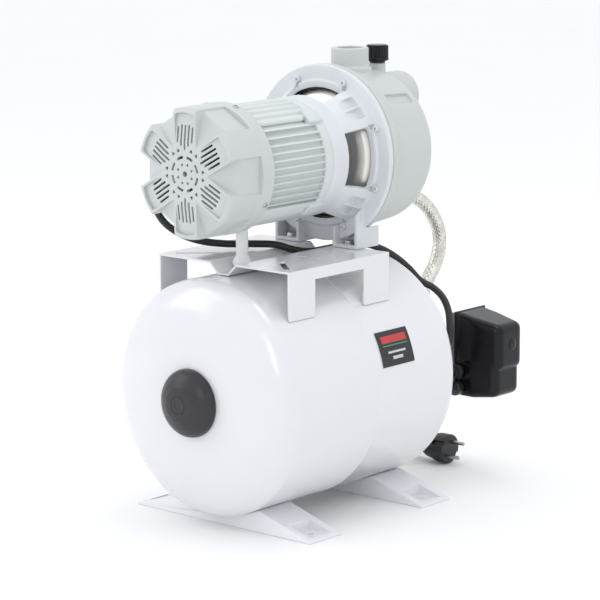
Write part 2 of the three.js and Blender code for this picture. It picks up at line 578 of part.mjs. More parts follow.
function diffuser() {
  const plate = turned(closed([
    [28, 95], [76, 95], [76, 72], [79, 72], [79, 98], [32, 98], [32, 106], [28, 106],
  ]), 28, SHAFT_Z);
  const slot = asSolid(block(-5, 5, 78, 92, SHAFT_Z + 70, SHAFT_Z + 84));
  const slots = Array.from({ length: 4 }, (_, i) => turnAboutShaft(slot, i * 90));
  return cut(plate, ...slots);
}
put('diffuser', diffuser(), PALE_PLASTIC);
put('venturi_tube', turned(closed([
  [27, 107], [33, 107], [33, 113], [20, 116], [13, 138], [13, 148], [7, 148], [7, 138], [13, 116], [27, 113],
]), 20, SHAFT_Z), PALE_PLASTIC);
put('jet_nozzle', turned(closed([
  [4, 149], [6.5, 149], [8.5, 151.5], [15, 152], [15, 155.4], [6, 155.4], [4, 151],
]), 16, SHAFT_Z), BRASS);

function casing() {
  const corner = (cy, cr, r0, from, to, n) => Array.from({ length: n + 1 }, (_, i) => {
    const a = ((from + ((to - from) * i) / n) * Math.PI) / 180;
    return [r0 + cr * Math.cos(a), cy + cr * Math.sin(a)];
  });
  const hub = CASING.REAR_R - CASING.CORNER;
  const outside = turned([
    [0, CASING.FLANGE_Y], [ADAPTER.RING_R, CASING.FLANGE_Y], [ADAPTER.RING_R, CASING.FLANGE_END],
    [CASING.DRUM_R + 0.8, CASING.FLANGE_END + 5],
    ...corner(CASING.DRUM_Y, CASING.CORNER, hub, 0, 90, 5),
    [0, CASING.DRUM_Y + CASING.CORNER],
  ], 48, SHAFT_Z);
  const inR = CASING.DRUM_R - CASING.WALL;
  const inside = turned([
    [0, CASING.FLANGE_Y - 1], [87.5, CASING.FLANGE_Y - 1], [87.5, 70.2], [CASING.SEAT_R, 70.2],
    [CASING.SEAT_R, 76], [inR, 80],
    ...corner(CASING.DRUM_Y, CASING.CORNER - CASING.WALL, hub, 0, 90, 3),
    [0, CASING.DRUM_Y + CASING.CORNER - CASING.WALL],
  ], 32, SHAFT_Z);
  const lobe = turned([
    [0, LOBE.Y0], [LOBE.R, LOBE.Y0], [LOBE.R, LOBE.Y1 - 9], [LOBE.R - 2.6, LOBE.Y1 - 2.6],
    [LOBE.R - 9, LOBE.Y1], [0, LOBE.Y1],
  ], 28, LOBE.Z);
  const discharge = turnedZ([
    [0, 480], [DISCHARGE.R, 480], [DISCHARGE.R, DISCHARGE.TOP - 1.2],
    [DISCHARGE.R - 1.2, DISCHARGE.TOP], [0, DISCHARGE.TOP],
  ], 28, 0, DISCHARGE.Y);
  const neck = turnedZ(rodProfile(PRIMING.NECK_R, 485, PRIMING.NECK_TOP), 24, 0, PRIMING.Y);
  const back = CASING.DRUM_Y + CASING.CORNER;
  const tapping = turned(rodProfile(14, back - 10, back + 5), 24, TAPPING_Z, 0);
  const drain = turned(rodProfile(11, back - 10, back + 5), 24, TAPPING_Z, DRAIN_X);
  const solid = join(outside, lobe, discharge, neck, tapping, drain);
  const tools = [
    inside,
    turned(rodProfile(LOBE.BORE, 150, LOBE.Y1 + 1), 24, LOBE.Z),
    turnedZ(rodProfile(DISCHARGE.BORE, 470, DISCHARGE.TOP + 1), 24, 0, DISCHARGE.Y),
    turnedZ(rodProfile(PRIMING.BORE, 470, PRIMING.NECK_TOP + 1), 20, 0, PRIMING.Y),
    turned(rodProfile(8.4, back - 12, back + 6), 20, TAPPING_Z, 0),
    turned(rodProfile(6.6, back - 12, back + 6), 20, TAPPING_Z, DRAIN_X),
  ];
  for (const s of [-1, 1]) {
    tools.push(asSolid(block(26.5, 32, 166, 198, 461, 473)).scale([s, 1, 1]));
  }
  return cut(solid, ...tools);
}
put('pump_casing', casing(), GREY_PAINT);

put('priming_plug', join(
  turnedZ(rodProfile(PRIMING.BORE - GAP, 498, 515.5), 20, 0, PRIMING.Y),
  turnedZ([
    [0, 514.6], [PRIMING.HEAD_R, 514.6], [PRIMING.HEAD_R - 0.6, 518], [PRIMING.HEAD_R - 1, PRIMING.TOP - 1],
    [PRIMING.HEAD_R - 2, PRIMING.TOP], [0, PRIMING.TOP],
  ], 12, 0, PRIMING.Y),
), BLACK);
put('priming_plug_seal', turnedZ(
  tubeProfile(PRIMING.BORE + 0.1, 9.8, PRIMING.NECK_TOP + GAP, 514.3), 24, 0, PRIMING.Y,
), RUBBER);
const BACK = CASING.DRUM_Y + CASING.CORNER + 5;
put('drain_plug', join(
  turned(rodProfile(6.2, BACK - 11, BACK + 1), 20, TAPPING_Z, DRAIN_X),
  hexY(17, BACK + GAP, BACK + 8, DRAIN_X, TAPPING_Z),
), BLACK);

// ---------- hose from the casing to the manifold ----------
put('hose_fitting_pump', cut(
  join(
    turned(rodProfile(8, BACK - 11, BACK + 15), 20, TAPPING_Z),
    hexY(22, BACK + GAP, BACK + 8, 0, TAPPING_Z),
  ),
  turned(rodProfile(4.5, BACK - 12, BACK + 16), 16, TAPPING_Z),
), BRASS);
const HOSE_TOP_Y = 203;
const HOSE_END_Z = 213;
put('hose_ferrule_pump', turned(closed([
  [8.4, BACK + 8.4], [11, BACK + 8.4], [11, HOSE_TOP_Y], [9.4, HOSE_TOP_Y], [9.4, BACK + 17],
  [8.4, BACK + 17],
]), 18, TAPPING_Z), STEEL);
const HOSE_PATH = [
  [0, 184.5, TAPPING_Z], [0, 196, TAPPING_Z], [0, 208, 351.3], [0, 222, 347.5], [0, 236, 341],
  [0, 252, 332.5], [0, 266, 321.5], [0, 277, 308.5], [0, 284.5, 295], [0, 287.7, 280], [0, 285.5, 265],
  [0, 279, 250.5], [0, 267.5, 237.5], [0, 257.6, 225], [0, MANIFOLD_Y + 0.2, 213], [0, MANIFOLD_Y, 200],
];
put('braided_hose', hose(HOSE_PATH, HOSE_D, 10, 20), STEEL);
put('hose_ferrule_tank', turnedZ(tubeProfile(9.4, 11, 198, HOSE_END_Z), 24, 0, MANIFOLD_Y), STEEL);
put('hose_union_nut', cut(
  join(hexZ(24, 182, 195, 0, MANIFOLD_Y), turnedZ(rodProfile(10.8, 194, 197.7), 24, 0, MANIFOLD_Y)),
  turnedZ(rodProfile(5.5, 181, 199), 18, 0, MANIFOLD_Y),
), BRASS);
put('tank_manifold', cut(
  join(
    turned(rodProfile(16, NECK_END + GAP, 270), 20, TANK.Z),
    hexY(38, NECK_END + GAP, NECK_END + 14, 0, TANK.Z),
    turnedZ(rodProfile(11, TANK.Z, 181.7), 20, 0, MANIFOLD_Y),
    turnedX(rodProfile(11, 0, 32), 20, MANIFOLD_Y, TANK.Z),
  ),
  turned(rodProfile(11, NECK_END - 1, 264), 16, TANK.Z),
  turnedZ(rodProfile(5.5, TANK.Z, 183), 18, 0, MANIFOLD_Y),
  turnedX(rodProfile(4, 0, 33), 18, MANIFOLD_Y, TANK.Z),
), BRASS);

// ---------- pressure switch ----------
const SX = SWITCH.X0;
put('switch_nipple', cut(
  join(
    turnedX(rodProfile(6.5, 32.3, SX - 8.6), 20, MANIFOLD_Y, TANK.Z),
    asSolid(hexProfileX(17, 38, 46)).translate([0, MANIFOLD_Y, TANK.Z]),
  ),
  turnedX(rodProfile(3.5, 31, SX), 16, MANIFOLD_Y, TANK.Z),
), BRASS);
const SY = (SWITCH.Y0 + SWITCH.Y1) / 2;
const SZ = (SWITCH.Z0 + SWITCH.Z1) / 2;
put('switch_base', cut(
  join(
    block(SX, SX + 5, SWITCH.Y0 + 1.5, SWITCH.Y1 - 1.5, SWITCH.Z0 + 2, SWITCH.Z1 - 2),
    turnedX(rodProfile(14, SX - 8.3, SX + 1), 28, MANIFOLD_Y, TANK.Z),
  ),
  turnedX(rodProfile(3.5, SX - 9, SX + 6), 16, MANIFOLD_Y, TANK.Z),
), IRON);
const BUMP = { LOW: 34, FULL: 40, HIGH: 52, OUT: 4 };
function switchCoverOutline(inset) {
  const back = SX + 5 + GAP - (inset > 0 ? 1 : 0);
  const face = SX + SWITCH.DEPTH - inset;
  return [
    [back, SWITCH.Z0 + inset], [face - 8, SWITCH.Z0 + 4 + inset], [face, SWITCH.Z0 + 12 + inset],
    [face, SWITCH.Z0 + BUMP.LOW], [face + BUMP.OUT, SWITCH.Z0 + BUMP.FULL],
    [face + BUMP.OUT, SWITCH.Z0 + BUMP.HIGH], [face, SWITCH.Z1 - 17 - inset],
    [face - 8, SWITCH.Z1 - 12 - inset], [back, SWITCH.Z1 - inset],
  ];
}
function switchCover() {
  const wall = 2.4;
  const body = pushedY(switchCoverOutline(0), SWITCH.Y0, SWITCH.Y1);
  const hollow = pushedY(switchCoverOutline(wall), SWITCH.Y0 + wall, SWITCH.Y1 - wall);
  const taperStart = SX + 19;
  const taperEnd = SX + SWITCH.DEPTH + 8;
  const taper = [-1, 1].map((s) => {
    const side = s < 0 ? SWITCH.Y0 : SWITCH.Y1;
    const wedge = [[taperStart, side + s * 0.1], [taperEnd, side + s * 0.1], [taperEnd, side - s * 5]];
    return asSolid(pushedZ(wedge, SWITCH.Z0 - 2, SWITCH.Z1 + 2));
  });
  return cut(body, ...taper, hollow);
}
put('switch_cover', switchCover(), BLACK);

const LEVER = { X0: SX + 17, X1: SX + 20, Z0: SZ - 32, Z1: SZ + 38 };
const STUD_Z = SZ + 22;
put('switch_lever', cut(
  join(
    block(LEVER.X0, LEVER.X1, SY - 16, SY + 16, LEVER.Z0, LEVER.Z1),
    turned(rodProfile(3, SY - 19, SY + 19), 16, LEVER.Z0, LEVER.X0 + 1.5),
  ),
  turnedX(rodProfile(5.5, LEVER.X0 - 1, LEVER.X1 + 1), 20, SY, STUD_Z),
), STEEL);
put('switch_stud', turnedX([
  [0, SX + 5.3], [8, SX + 5.3], [8, SX + 7.5], [3, SX + 7.5], [3, SX + 50], [9, SX + 50],
  [9, SX + 55], [3, SX + 55], [3, SX + 59], [0, SX + 59],
], 16, SY, STUD_Z), STEEL);
const SPRING = { X0: SX + 25, X1: SX + 48.5, R: 6.2, WIRE: 1.8, TURNS: 4.5 };
const springPath = Array.from({ length: 46 }, (_, i) => {
  const a = (i / 45) * SPRING.TURNS * 2 * Math.PI;
  const x = SPRING.X0 + ((SPRING.X1 - SPRING.X0) * i) / 45;
  return [x, SY + SPRING.R * Math.cos(a), STUD_Z + SPRING.R * Math.sin(a)];
});
put('switch_spring', hose(springPath, SPRING.WIRE, 5, 34), STEEL);
put('switch_contact_block', join(
  block(SX + 5.3, SX + 30, SY - 26, SY - 20.5, SZ - 40, SZ - 2),
  block(SX + 5.3, SX + 14, SY - 26, SY + 10, SZ - 40, SZ - 37),
), PALE_PLASTIC);
const GLAND_X = SX + 13;
const UPPER_GLAND_Z = 134;
const LOWER_GLAND_Z = 114;
const GLAND_FACE = SWITCH.Y0 - GAP;
put('switch_gland_motor', glandAlongMinusY(GLAND_X, GLAND_FACE, UPPER_GLAND_Z, 13), RUBBER);
put('switch_gland_mains', glandAlongMinusY(GLAND_X, GLAND_FACE, LOWER_GLAND_Z, 24), RUBBER);

// ---------- leads ----------
const LEAD_PATH = [
  [LEAD_EXIT_X, BOX.Y0 + 1, GLAND_Z], [LEAD_EXIT_X, -94, GLAND_Z], [LEAD_EXIT_X, -102, GLAND_Z - 0.4],
  [-99, -113, 392], [-100, -120, 376], [-99, -118, 359], [-96, -108, 342], [-88, -90, 327],
  [-75, -70, 317.5], [-57, -46, 312.8], [-35, -24, 312.2], [-15, -6, 311], [-3, 14, 303.6], [0, 36, 299],
  [0, 64, 298], [2, 92, 298.6], [6, 118, 298], [11, 135, 295.5], [16.5, 150, 289.5], [21.5, 164, 281.5],
  [27, 176, 272], [35, 184.5, 261], [45, 192, 247.5], [59, 199, 239.6], [73, 200, 229.5],
  [85, 196, 215.5], [92, 190, 201], [95, 186, 184], [92, 180, 166], [86, 176, 149],
  [80.5, 183, 138], [GLAND_X, 197, 134.3], [GLAND_X, 208, UPPER_GLAND_Z], [GLAND_X, 219, UPPER_GLAND_Z],
];
put('motor_lead', hose(LEAD_PATH, LEAD_D, 8, 44), RUBBER);
const FLOOR_Z = LEAD_D / 2 + 0.1;
const COIL = { X: -90, Y: 227, R: 46, TURNS: 3.5, PITCH: 8.6 };
const COIL_TOP = FLOOR_Z + COIL.TURNS * COIL.PITCH;
const COIL_REACH = 30;
const MAINS_PATH = [
  [GLAND_X, 219, LOWER_GLAND_Z], [GLAND_X, 208, LOWER_GLAND_Z], [GLAND_X, 198, 113.2], [77, 185, 106],
  [71, 176.5, 91], [61, 173.5, 73], [49, 173.5, 53], [35, 175.5, 33], [18, 178, 15], [0, 180, 6.6],
  [-18, 181, FLOOR_Z], [-40, COIL.Y - COIL.R, FLOOR_Z], [COIL.X + COIL_REACH, COIL.Y - COIL.R, FLOOR_Z],
];
put('mains_lead', hose(MAINS_PATH, LEAD_D, 8, 24), RUBBER);
put('mains_coil', turnedZ(
  tubeProfile(COIL.R - LEAD_D / 2, COIL.R + LEAD_D / 2, 0.1, COIL_TOP + LEAD_D / 2), 40, COIL.X, COIL.Y,
), RUBBER);
const PLUG = { X: -8, Y: COIL.Y + COIL.R, Z: 19, LEN: 38, ROLL: 58 };
const TAIL_PATH = [
  [COIL.X + COIL_REACH, PLUG.Y, COIL_TOP - 4], [COIL.X + 38, PLUG.Y, COIL_TOP - 7], [PLUG.X - 34, PLUG.Y, 22],
  [PLUG.X - 22, PLUG.Y, PLUG.Z + 0.2], [PLUG.X - 12, PLUG.Y, PLUG.Z],
];
put('mains_lead_tail', hose(TAIL_PATH, LEAD_D, 8, 10), RUBBER);
const PIN_APART = 9.5;
function atPlug(item) {
  return asSolid(item).rotate([PLUG.ROLL, 0, 0]).translate([PLUG.X, PLUG.Y, PLUG.Z]);
}
put('plug_body', atPlug(cut(
  turnedX([
    [0, -24], [6.4, -24], [8, -2], [12, 2], [16, 10], [18.4, 24], [18.4, PLUG.LEN], [0, PLUG.LEN],
  ], 24),
  turnedX(rodProfile(LEAD_D / 2 + 1, -25, -8), 16),
  ...[-1, 1].map((s) => turnedX(rodProfile(2.8, 20, PLUG.LEN + 1), 12, s * PIN_APART, 0)),
  ...[-1, 1].map((s) => block(22, PLUG.LEN + 1, -3, 3, s * 17 - 2, s * 17 + 2)),
)), RUBBER);
for (const [name, s] of [['plug_pin_a', -1], ['plug_pin_b', 1]]) {
  const end = PLUG.LEN + 19;
  const pin = turnedX([[0, 21], [2.4, 21], [2.4, end - 1.4], [1.2, end], [0, end]], 12, s * PIN_APART, 0);
  put(name, atPlug(pin), STEEL);
}

// ---------- rating plate ----------
const LABEL = { Y0: 10.8, Y1: 67.6, A0: 12, A1: 29.2, T: 0.5 };
function labelOutline() {
  const n = 6;
  const arc = (r, k) => {
    const a = THREE.MathUtils.degToRad(LABEL.A0 + ((LABEL.A1 - LABEL.A0) * k) / n);
    return [r * Math.cos(a), TANK.Z + r * Math.sin(a)];
  };
  const inner = Array.from({ length: n + 1 }, (_, k) => arc(TANK.R + GAP, k));
  const outer = Array.from({ length: n + 1 }, (_, k) => arc(TANK.R + GAP + LABEL.T, n - k));
  return [...inner, ...outer];
}
put('rating_label', pushedY(labelOutline(), LABEL.Y0, LABEL.Y1), BLACK);

export default group;
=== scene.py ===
"""Looks of the shallow well jet pump on its pressure tank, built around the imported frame."""
import json
import math

import bpy
import numpy as np
from mathutils import Matrix, Quaternion, Vector


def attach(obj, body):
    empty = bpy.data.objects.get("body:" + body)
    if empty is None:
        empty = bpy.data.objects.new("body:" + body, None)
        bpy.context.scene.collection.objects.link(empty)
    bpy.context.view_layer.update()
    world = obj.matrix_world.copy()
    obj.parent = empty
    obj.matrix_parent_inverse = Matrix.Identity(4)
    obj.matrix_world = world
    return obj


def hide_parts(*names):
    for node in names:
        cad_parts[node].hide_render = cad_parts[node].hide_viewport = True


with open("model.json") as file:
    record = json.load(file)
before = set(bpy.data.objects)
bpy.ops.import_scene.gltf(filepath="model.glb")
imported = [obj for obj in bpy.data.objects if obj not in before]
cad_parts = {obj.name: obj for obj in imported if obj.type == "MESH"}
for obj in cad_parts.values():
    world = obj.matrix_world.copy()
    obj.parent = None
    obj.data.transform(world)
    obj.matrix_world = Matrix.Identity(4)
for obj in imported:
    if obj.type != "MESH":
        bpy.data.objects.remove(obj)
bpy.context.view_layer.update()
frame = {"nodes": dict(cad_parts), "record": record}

# ---------- driving dimensions, in millimetres ----------
# X across the pump, Z up, and Y along the shaft and the tank, measured from the tank's middle weld.
MM = 0.001
ROW_Y = 52.85
TO_ROW = Matrix.Scale(MM, 4) @ Matrix.Translation((0, -ROW_Y, 0))

TANK_R, TANK_Z, TANK_HALF, TANK_DOME, TANK_POWER, TANK_MOUTH, TANK_WALL = 138, 152.4, 133, 36, 2.9, 24, 1.5
SHAFT_Z = 413.8
COVER_R, COVER_FRONT, COVER_REAR, COVER_WALL = 75, -173.8, -107, 2.5
PETALS = 6
PETAL_STEP = 360 / PETALS
RING_R, RING_IN, RING_Y0, RING_Y1 = 104, 78.5, 59.8, 66.5
DRUM_R, DRUM_REAR_R, DRUM_END, DRUM_CORNER = 96, 90, 162, 14
TAPPING_Z, DRAIN_X = 352, 38
MANIFOLD_Y = 254
LEAD_D = 8.5
HOSE_D = 17


def at(x, y, z):
    """A place given in the frame of the driving dimensions, as a point in the row frame."""
    return TO_ROW @ Vector((x, y, z))


# ---------- camera, floor and light ----------
CAMERA_AT = Vector((2.0019, -2.3430, 0.8273))
CAMERA_YAW, CAMERA_PITCH, CAMERA_ROLL = (math.radians(a) for a in (40.90, -10.82, -0.22))
LENS_MM, SENSOR_MM = 158.6, 36
WORLD_COLOUR, WORLD_STRENGTH = (0.96, 0.98, 1.0, 1), 1.06
FLOOR_REACH = 9


def add(name, data):
    made = bpy.data.objects.new(name, data)
    bpy.context.scene.collection.objects.link(made)
    return made


def make_camera():
    lens = bpy.data.cameras.new("camera")
    lens.lens = LENS_MM
    lens.sensor_width = SENSOR_MM
    camera = add("camera", lens)
    ahead = Vector((
        -math.sin(CAMERA_YAW) * math.cos(CAMERA_PITCH),
        math.cos(CAMERA_YAW) * math.cos(CAMERA_PITCH),
        math.sin(CAMERA_PITCH),
    ))
    camera.location = CAMERA_AT
    camera.rotation_mode = "QUATERNION"
    camera.rotation_quaternion = ahead.to_track_quat("-Z", "Y") @ Quaternion((0, 0, 1), CAMERA_ROLL)
    bpy.context.scene.camera = camera


def make_light(name, place, target, size, power, colour=(1, 1, 1)):
    lamp = bpy.data.lights.new(name, "AREA")
    lamp.shape = "RECTANGLE"
    lamp.size, lamp.size_y = size
    lamp.energy = power
    lamp.color = colour
    made = add(name, lamp)
    made.location = place
    made.rotation_mode = "QUATERNION"
    made.rotation_quaternion = (Vector(target) - Vector(place)).to_track_quat("-Z", "Y")


def make_studio():
    world = bpy.data.worlds.new("studio")
    bpy.context.scene.world = world
    world.use_nodes = True
    back = world.node_tree.nodes["Background"]
    back.inputs["Color"].default_value = WORLD_COLOUR
    back.inputs["Strength"].default_value = WORLD_STRENGTH
    bpy.context.scene.view_settings.view_transform = "Standard"
    middle = (0, 0, 0.25)
    make_light("softbox_left", (-1.7, -1.6, 1.5), middle, (1.1, 1.4), 9)
    make_light("softbox_front", (0.9, -2.6, 1.3), middle, (0.5, 1.2), 5)
    make_light("softbox_top", (0.3, 0.3, 2.4), middle, (1.6, 0.7), 8)
    floor = bpy.data.meshes.new("floor")
    corners = [(x * FLOOR_REACH, y * FLOOR_REACH, 0) for x, y in ((-1, -1), (1, -1), (1, 1), (-1, 1))]
    floor.from_pydata(corners, [], [(0, 1, 2, 3)])
    made = add("floor", floor)
    made.data.materials.append(surface("floor_white", (0.93, 0.93, 0.935), 0.6, mottle=0.004, scale=3))


# ---------- materials ----------
def surface(name, colour, roughness, metallic=0.0, mottle=0.03, scale=25, grain=0.0, grain_scale=900,
            coat=0.0, stretch=(1, 1, 1), uneven=0.06, specular=0.5):
    """A material whose colour and roughness drift a little over the surface, with a fine grain in relief."""
    made = bpy.data.materials.new(name)
    made.use_nodes = True
    nodes, links = made.node_tree.nodes, made.node_tree.links
    shader = nodes["Principled BSDF"]
    shader.inputs["Metallic"].default_value = metallic
    shader.inputs["Specular IOR Level"].default_value = specular
    if coat:
        shader.inputs["Coat Weight"].default_value = coat
        shader.inputs["Coat Roughness"].default_value = 0.12
    place = nodes.new("ShaderNodeTexCoord")
    mapping = nodes.new("ShaderNodeMapping")
    mapping.inputs["Scale"].default_value = stretch
    links.new(place.outputs["Object"], mapping.inputs["Vector"])
    drift = nodes.new("ShaderNodeTexNoise")
    drift.inputs["Scale"].default_value = scale
    drift.inputs["Detail"].default_value = 4
    links.new(mapping.outputs["Vector"], drift.inputs["Vector"])
    ramp = nodes.new("ShaderNodeValToRGB")
    ramp.color_ramp.elements[0].position = 0.3
    ramp.color_ramp.elements[1].position = 0.7
    ramp.color_ramp.elements[0].color = (*[c * (1 - mottle) for c in colour], 1)
    ramp.color_ramp.elements[1].color = (*[min(1, c * (1 + mottle)) for c in colour], 1)
    links.new(drift.outputs["Fac"], ramp.inputs["Fac"])
    links.new(ramp.outputs["Color"], shader.inputs["Base Color"])
    rough = nodes.new("ShaderNodeMapRange")
    rough.inputs["To Min"].default_value = max(0.02, roughness - uneven)
    rough.inputs["To Max"].default_value = roughness + uneven
    links.new(drift.outputs["Fac"], rough.inputs["Value"])
    links.new(rough.outputs["Result"], shader.inputs["Roughness"])
    if grain:
        fine = nodes.new("ShaderNodeTexNoise")
        fine.inputs["Scale"].default_value = grain_scale
        fine.inputs["Detail"].default_value = 2
        links.new(mapping.outputs["Vector"], fine.inputs["Vector"])
        bump = nodes.new("ShaderNodeBump")
        bump.inputs["Strength"].default_value = grain
        bump.inputs["Distance"].default_value = 0.0004
        links.new(fine.outputs["Fac"], bump.inputs["Height"])
        links.new(bump.outputs["Normal"], shader.inputs["Normal"])
    return made


LOOKS = {
    "white_paint": surface("white_paint", (0.725, 0.725, 0.75), 0.22, mottle=0.006, grain=0.04,
                           grain_scale=260, coat=0.7),
    "tank_foot_paint": surface("tank_foot_paint", (0.80, 0.80, 0.83), 0.34, mottle=0.008, grain=0.06,
                               grain_scale=300, coat=0.15),
    "grey_paint": surface("grey_paint", (0.535, 0.56, 0.545), 0.42, mottle=0.012, grain=0.12,
                          grain_scale=700),
    "grey_plastic": surface("grey_plastic", (0.535, 0.56, 0.56), 0.40, mottle=0.01, grain=0.10,
                            grain_scale=1100),
    "grey_alloy": surface("grey_alloy", (0.62, 0.65, 0.65), 0.42, mottle=0.012, grain=0.12,
                          grain_scale=800),
    "cast_alloy": surface("cast_alloy", (0.66, 0.68, 0.705), 0.45, mottle=0.02, grain=0.22,
                          grain_scale=600),
    "stainless": surface("stainless", (0.80, 0.785, 0.74), 0.42, metallic=1.0, mottle=0.06,
                         stretch=(1, 6, 1), grain=0.05, grain_scale=500),
    "steel": surface("steel", (0.50, 0.50, 0.49), 0.3, metallic=1.0, mottle=0.05, grain=0.05),
    "iron": surface("iron", (0.25, 0.25, 0.26), 0.5, metallic=0.8, mottle=0.1, grain=0.2),
    "copper": surface("copper", (0.55, 0.27, 0.14), 0.45, metallic=0.9, mottle=0.1, grain=0.2),
    "brass": surface("brass", (0.60, 0.46, 0.22), 0.32, metallic=1.0, mottle=0.06, grain=0.06),
    # the braid's strong colour drift (mottle 0.2) is painted reflection: random dark patches standing in for
    # the dark stripes the metal braid reflects
    "braid": surface("braid", (0.70, 0.68, 0.62), 0.24, metallic=1.0, mottle=0.2, scale=120),
    "black_plastic": surface("black_plastic", (0.004, 0.004, 0.007), 0.22, mottle=0.15, grain=0.12,
                             grain_scale=1200, specular=0.3),
    "black_cap": surface("black_cap", (0.034, 0.033, 0.039), 0.34, mottle=0.1, grain=0.08,
                         grain_scale=1000, specular=0.35),
    "black_rubber": surface("black_rubber", (0.014, 0.014, 0.015), 0.45, mottle=0.12, grain=0.15,
                            grain_scale=900),
    "pale_plastic": surface("pale_plastic", (0.72, 0.71, 0.66), 0.5, mottle=0.02, grain=0.08),
    "label_film": surface("label_film", (0.012, 0.012, 0.014), 0.25, mottle=0.1),
}
SLOT_OF = {part["node"]: part["material_slot"] for part in frame["record"]["subparts"]}


# ---------- solids, in millimetres ----------
def solid(verts, faces):
    mesh = bpy.data.meshes.new("solid")
    mesh.from_pydata([tuple(v) for v in verts], [], faces)
    mesh.validate()
    made = add("solid", mesh)
    return outward(made)


def outward(made):
    """Turns the faces of a closed mesh outwards."""
    mesh = made.data
    mesh.calc_loop_triangles()
    volume = 0.0
    for triangle in mesh.loop_triangles:
        a, b, c = (mesh.vertices[i].co for i in triangle.vertices)
        volume += a.dot(b.cross(c))
    if volume < 0:
        mesh.flip_normals()
    return made


def rounded(points, loop=False, steps=5):
    """A line of (a, b) or (a, b, radius) corners; each corner with a radius becomes an arc."""
    line = []
    count = len(points)
    for i, point in enumerate(points):
        here = Vector(point[:2])
        radius = point[2] if len(point) > 2 else 0
        if not radius or (not loop and i in (0, count - 1)):
            line.append(here)
            continue
        back = Vector(points[i - 1][:2]) - here
        ahead = Vector(points[(i + 1) % count][:2]) - here
        reach = min(radius / math.tan(back.angle(ahead) / 2), 0.49 * back.length, 0.49 * ahead.length)
        start, end = here + back.normalized() * reach, here + ahead.normalized() * reach
        for k in range(steps + 1):
            t = k / steps
            line.append(start * (1 - t) ** 2 + here * 2 * t * (1 - t) + end * t ** 2)
    return line


def turned(profile, sides=96, axis="y", x=0, y=0, z=0):
    """A solid of revolution from (radius, height) points; it ends on the axis or closes on itself."""
    verts, rings = [], []
    for r, h in profile:
        count = 1 if r < 1e-6 else sides
        rings.append(range(len(verts), len(verts) + count))
        for i in range(count):
            a = 2 * math.pi * i / sides
            u, v = r * math.cos(a), r * math.sin(a)
            offset = {"x": (h, u, v), "y": (u, h, v), "z": (u, v, h)}[axis]
            verts.append((x + offset[0], y + offset[1], z + offset[2]))
    on_axis = len(rings[0]) == 1
    faces = []
    pairs = zip(rings, rings[1:]) if on_axis else zip(rings, rings[1:] + rings[:1])
    for low, high in pairs:
        for i in range(sides):
            j = (i + 1) % sides
            if len(low) == 1 and len(high) == 1:
                continue
            if len(low) == 1:
                faces.append((low[0], high[j], high[i]))
            elif len(high) == 1:
                faces.append((low[i], low[j], high[0]))
            else:
                faces.append((low[i], low[j], high[j], high[i]))
    return solid(verts, faces)


def rod(r, low, high, sides=48, axis="y", soft=0.0, **place):
    corners = [(0, low), (r, low, soft), (r, high, soft), (0, high)]
    return turned(rounded(corners, steps=3), sides, axis, **place)


def pushed(outline, low, high, axis="y"):
    """An outline pushed along an axis: (x, z) points for y, (x, y) for z and (y, z) for x.
    low and high may each be a number or a rule that gives one for a point of the outline."""
    def placed(point, end):
        a, b = point
        h = end(point) if callable(end) else end
        return {"y": (a, h, b), "z": (a, b, h), "x": (h, a, b)}[axis]

    count = len(outline)
    verts = [placed(p, low) for p in outline] + [placed(p, high) for p in outline]
    faces = [tuple(range(count))[::-1], tuple(range(count, 2 * count))]
    faces += [(i, (i + 1) % count, count + (i + 1) % count, count + i) for i in range(count)]
    return solid(verts, faces)


def block(x0, x1, y0, y1, z0, z1, soft=0.0):
    made = pushed([(x0, y0), (x1, y0), (x1, y1), (x0, y1)], z0, z1, "z")
    return bevelled(made, soft) if soft else made


def bevelled(made, width, angle=30, segments=3):
    bevel = made.modifiers.new("bevel", "BEVEL")
    bevel.width = width
    bevel.segments = segments
    bevel.limit_method = "ANGLE"
    bevel.angle_limit = math.radians(angle)
    return settled(made)


def settled(made):
    """Applies the modifiers on an object."""
    bpy.context.view_layer.update()
    graph = bpy.context.evaluated_depsgraph_get()
    mesh = bpy.data.meshes.new_from_object(made.evaluated_get(graph))
    made.modifiers.clear()
    made.data = mesh
    return made


def combined(how, base, *tools):
    for tool in tools:
        step = base.modifiers.new("combine", "BOOLEAN")
        step.operation = how
        step.solver = "MANIFOLD"
        step.object = tool
    settled(base)
    for tool in tools:
        bpy.data.objects.remove(tool)
    return base


def cut(base, *tools):
    return combined("DIFFERENCE", base, *tools)


def fused(base, *others):
    return combined("UNION", base, *others)


def moved(made, matrix):
    made.data.transform(matrix)
    return outward(made)


def about_shaft(made, degrees):
    turn = Matrix.Rotation(math.radians(degrees), 4, "Y")
    centre = Matrix.Translation((0, 0, SHAFT_Z))
    return moved(made, centre @ turn @ centre.inverted())


def cast(made, voxel, passes):
    """Rounds every edge of a casting: an even fine mesh, smoothed a few times."""
    mesh = made.modifiers.new("even", "REMESH")
    mesh.mode = "VOXEL"
    mesh.voxel_size = voxel
    smooth = made.modifiers.new("smooth", "SMOOTH")
    smooth.factor = 0.5
    smooth.iterations = passes
    return settled(made)


def show(made, name, body, slot, replaces=(), angle=32, look=None):
    """Names a finished solid, puts it in the row frame, and gives it its body, finish and shading."""
    made.name = name
    made.data.name = name
    made.data.transform(TO_ROW)
    made.data.shade_smooth()
    made.data.set_sharp_from_angle(angle=math.radians(angle))
    made.data.materials.clear()
    made.data.materials.append(look or LOOKS[slot])
    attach(made, body)
    if replaces:
        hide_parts(*replaces)
    return made


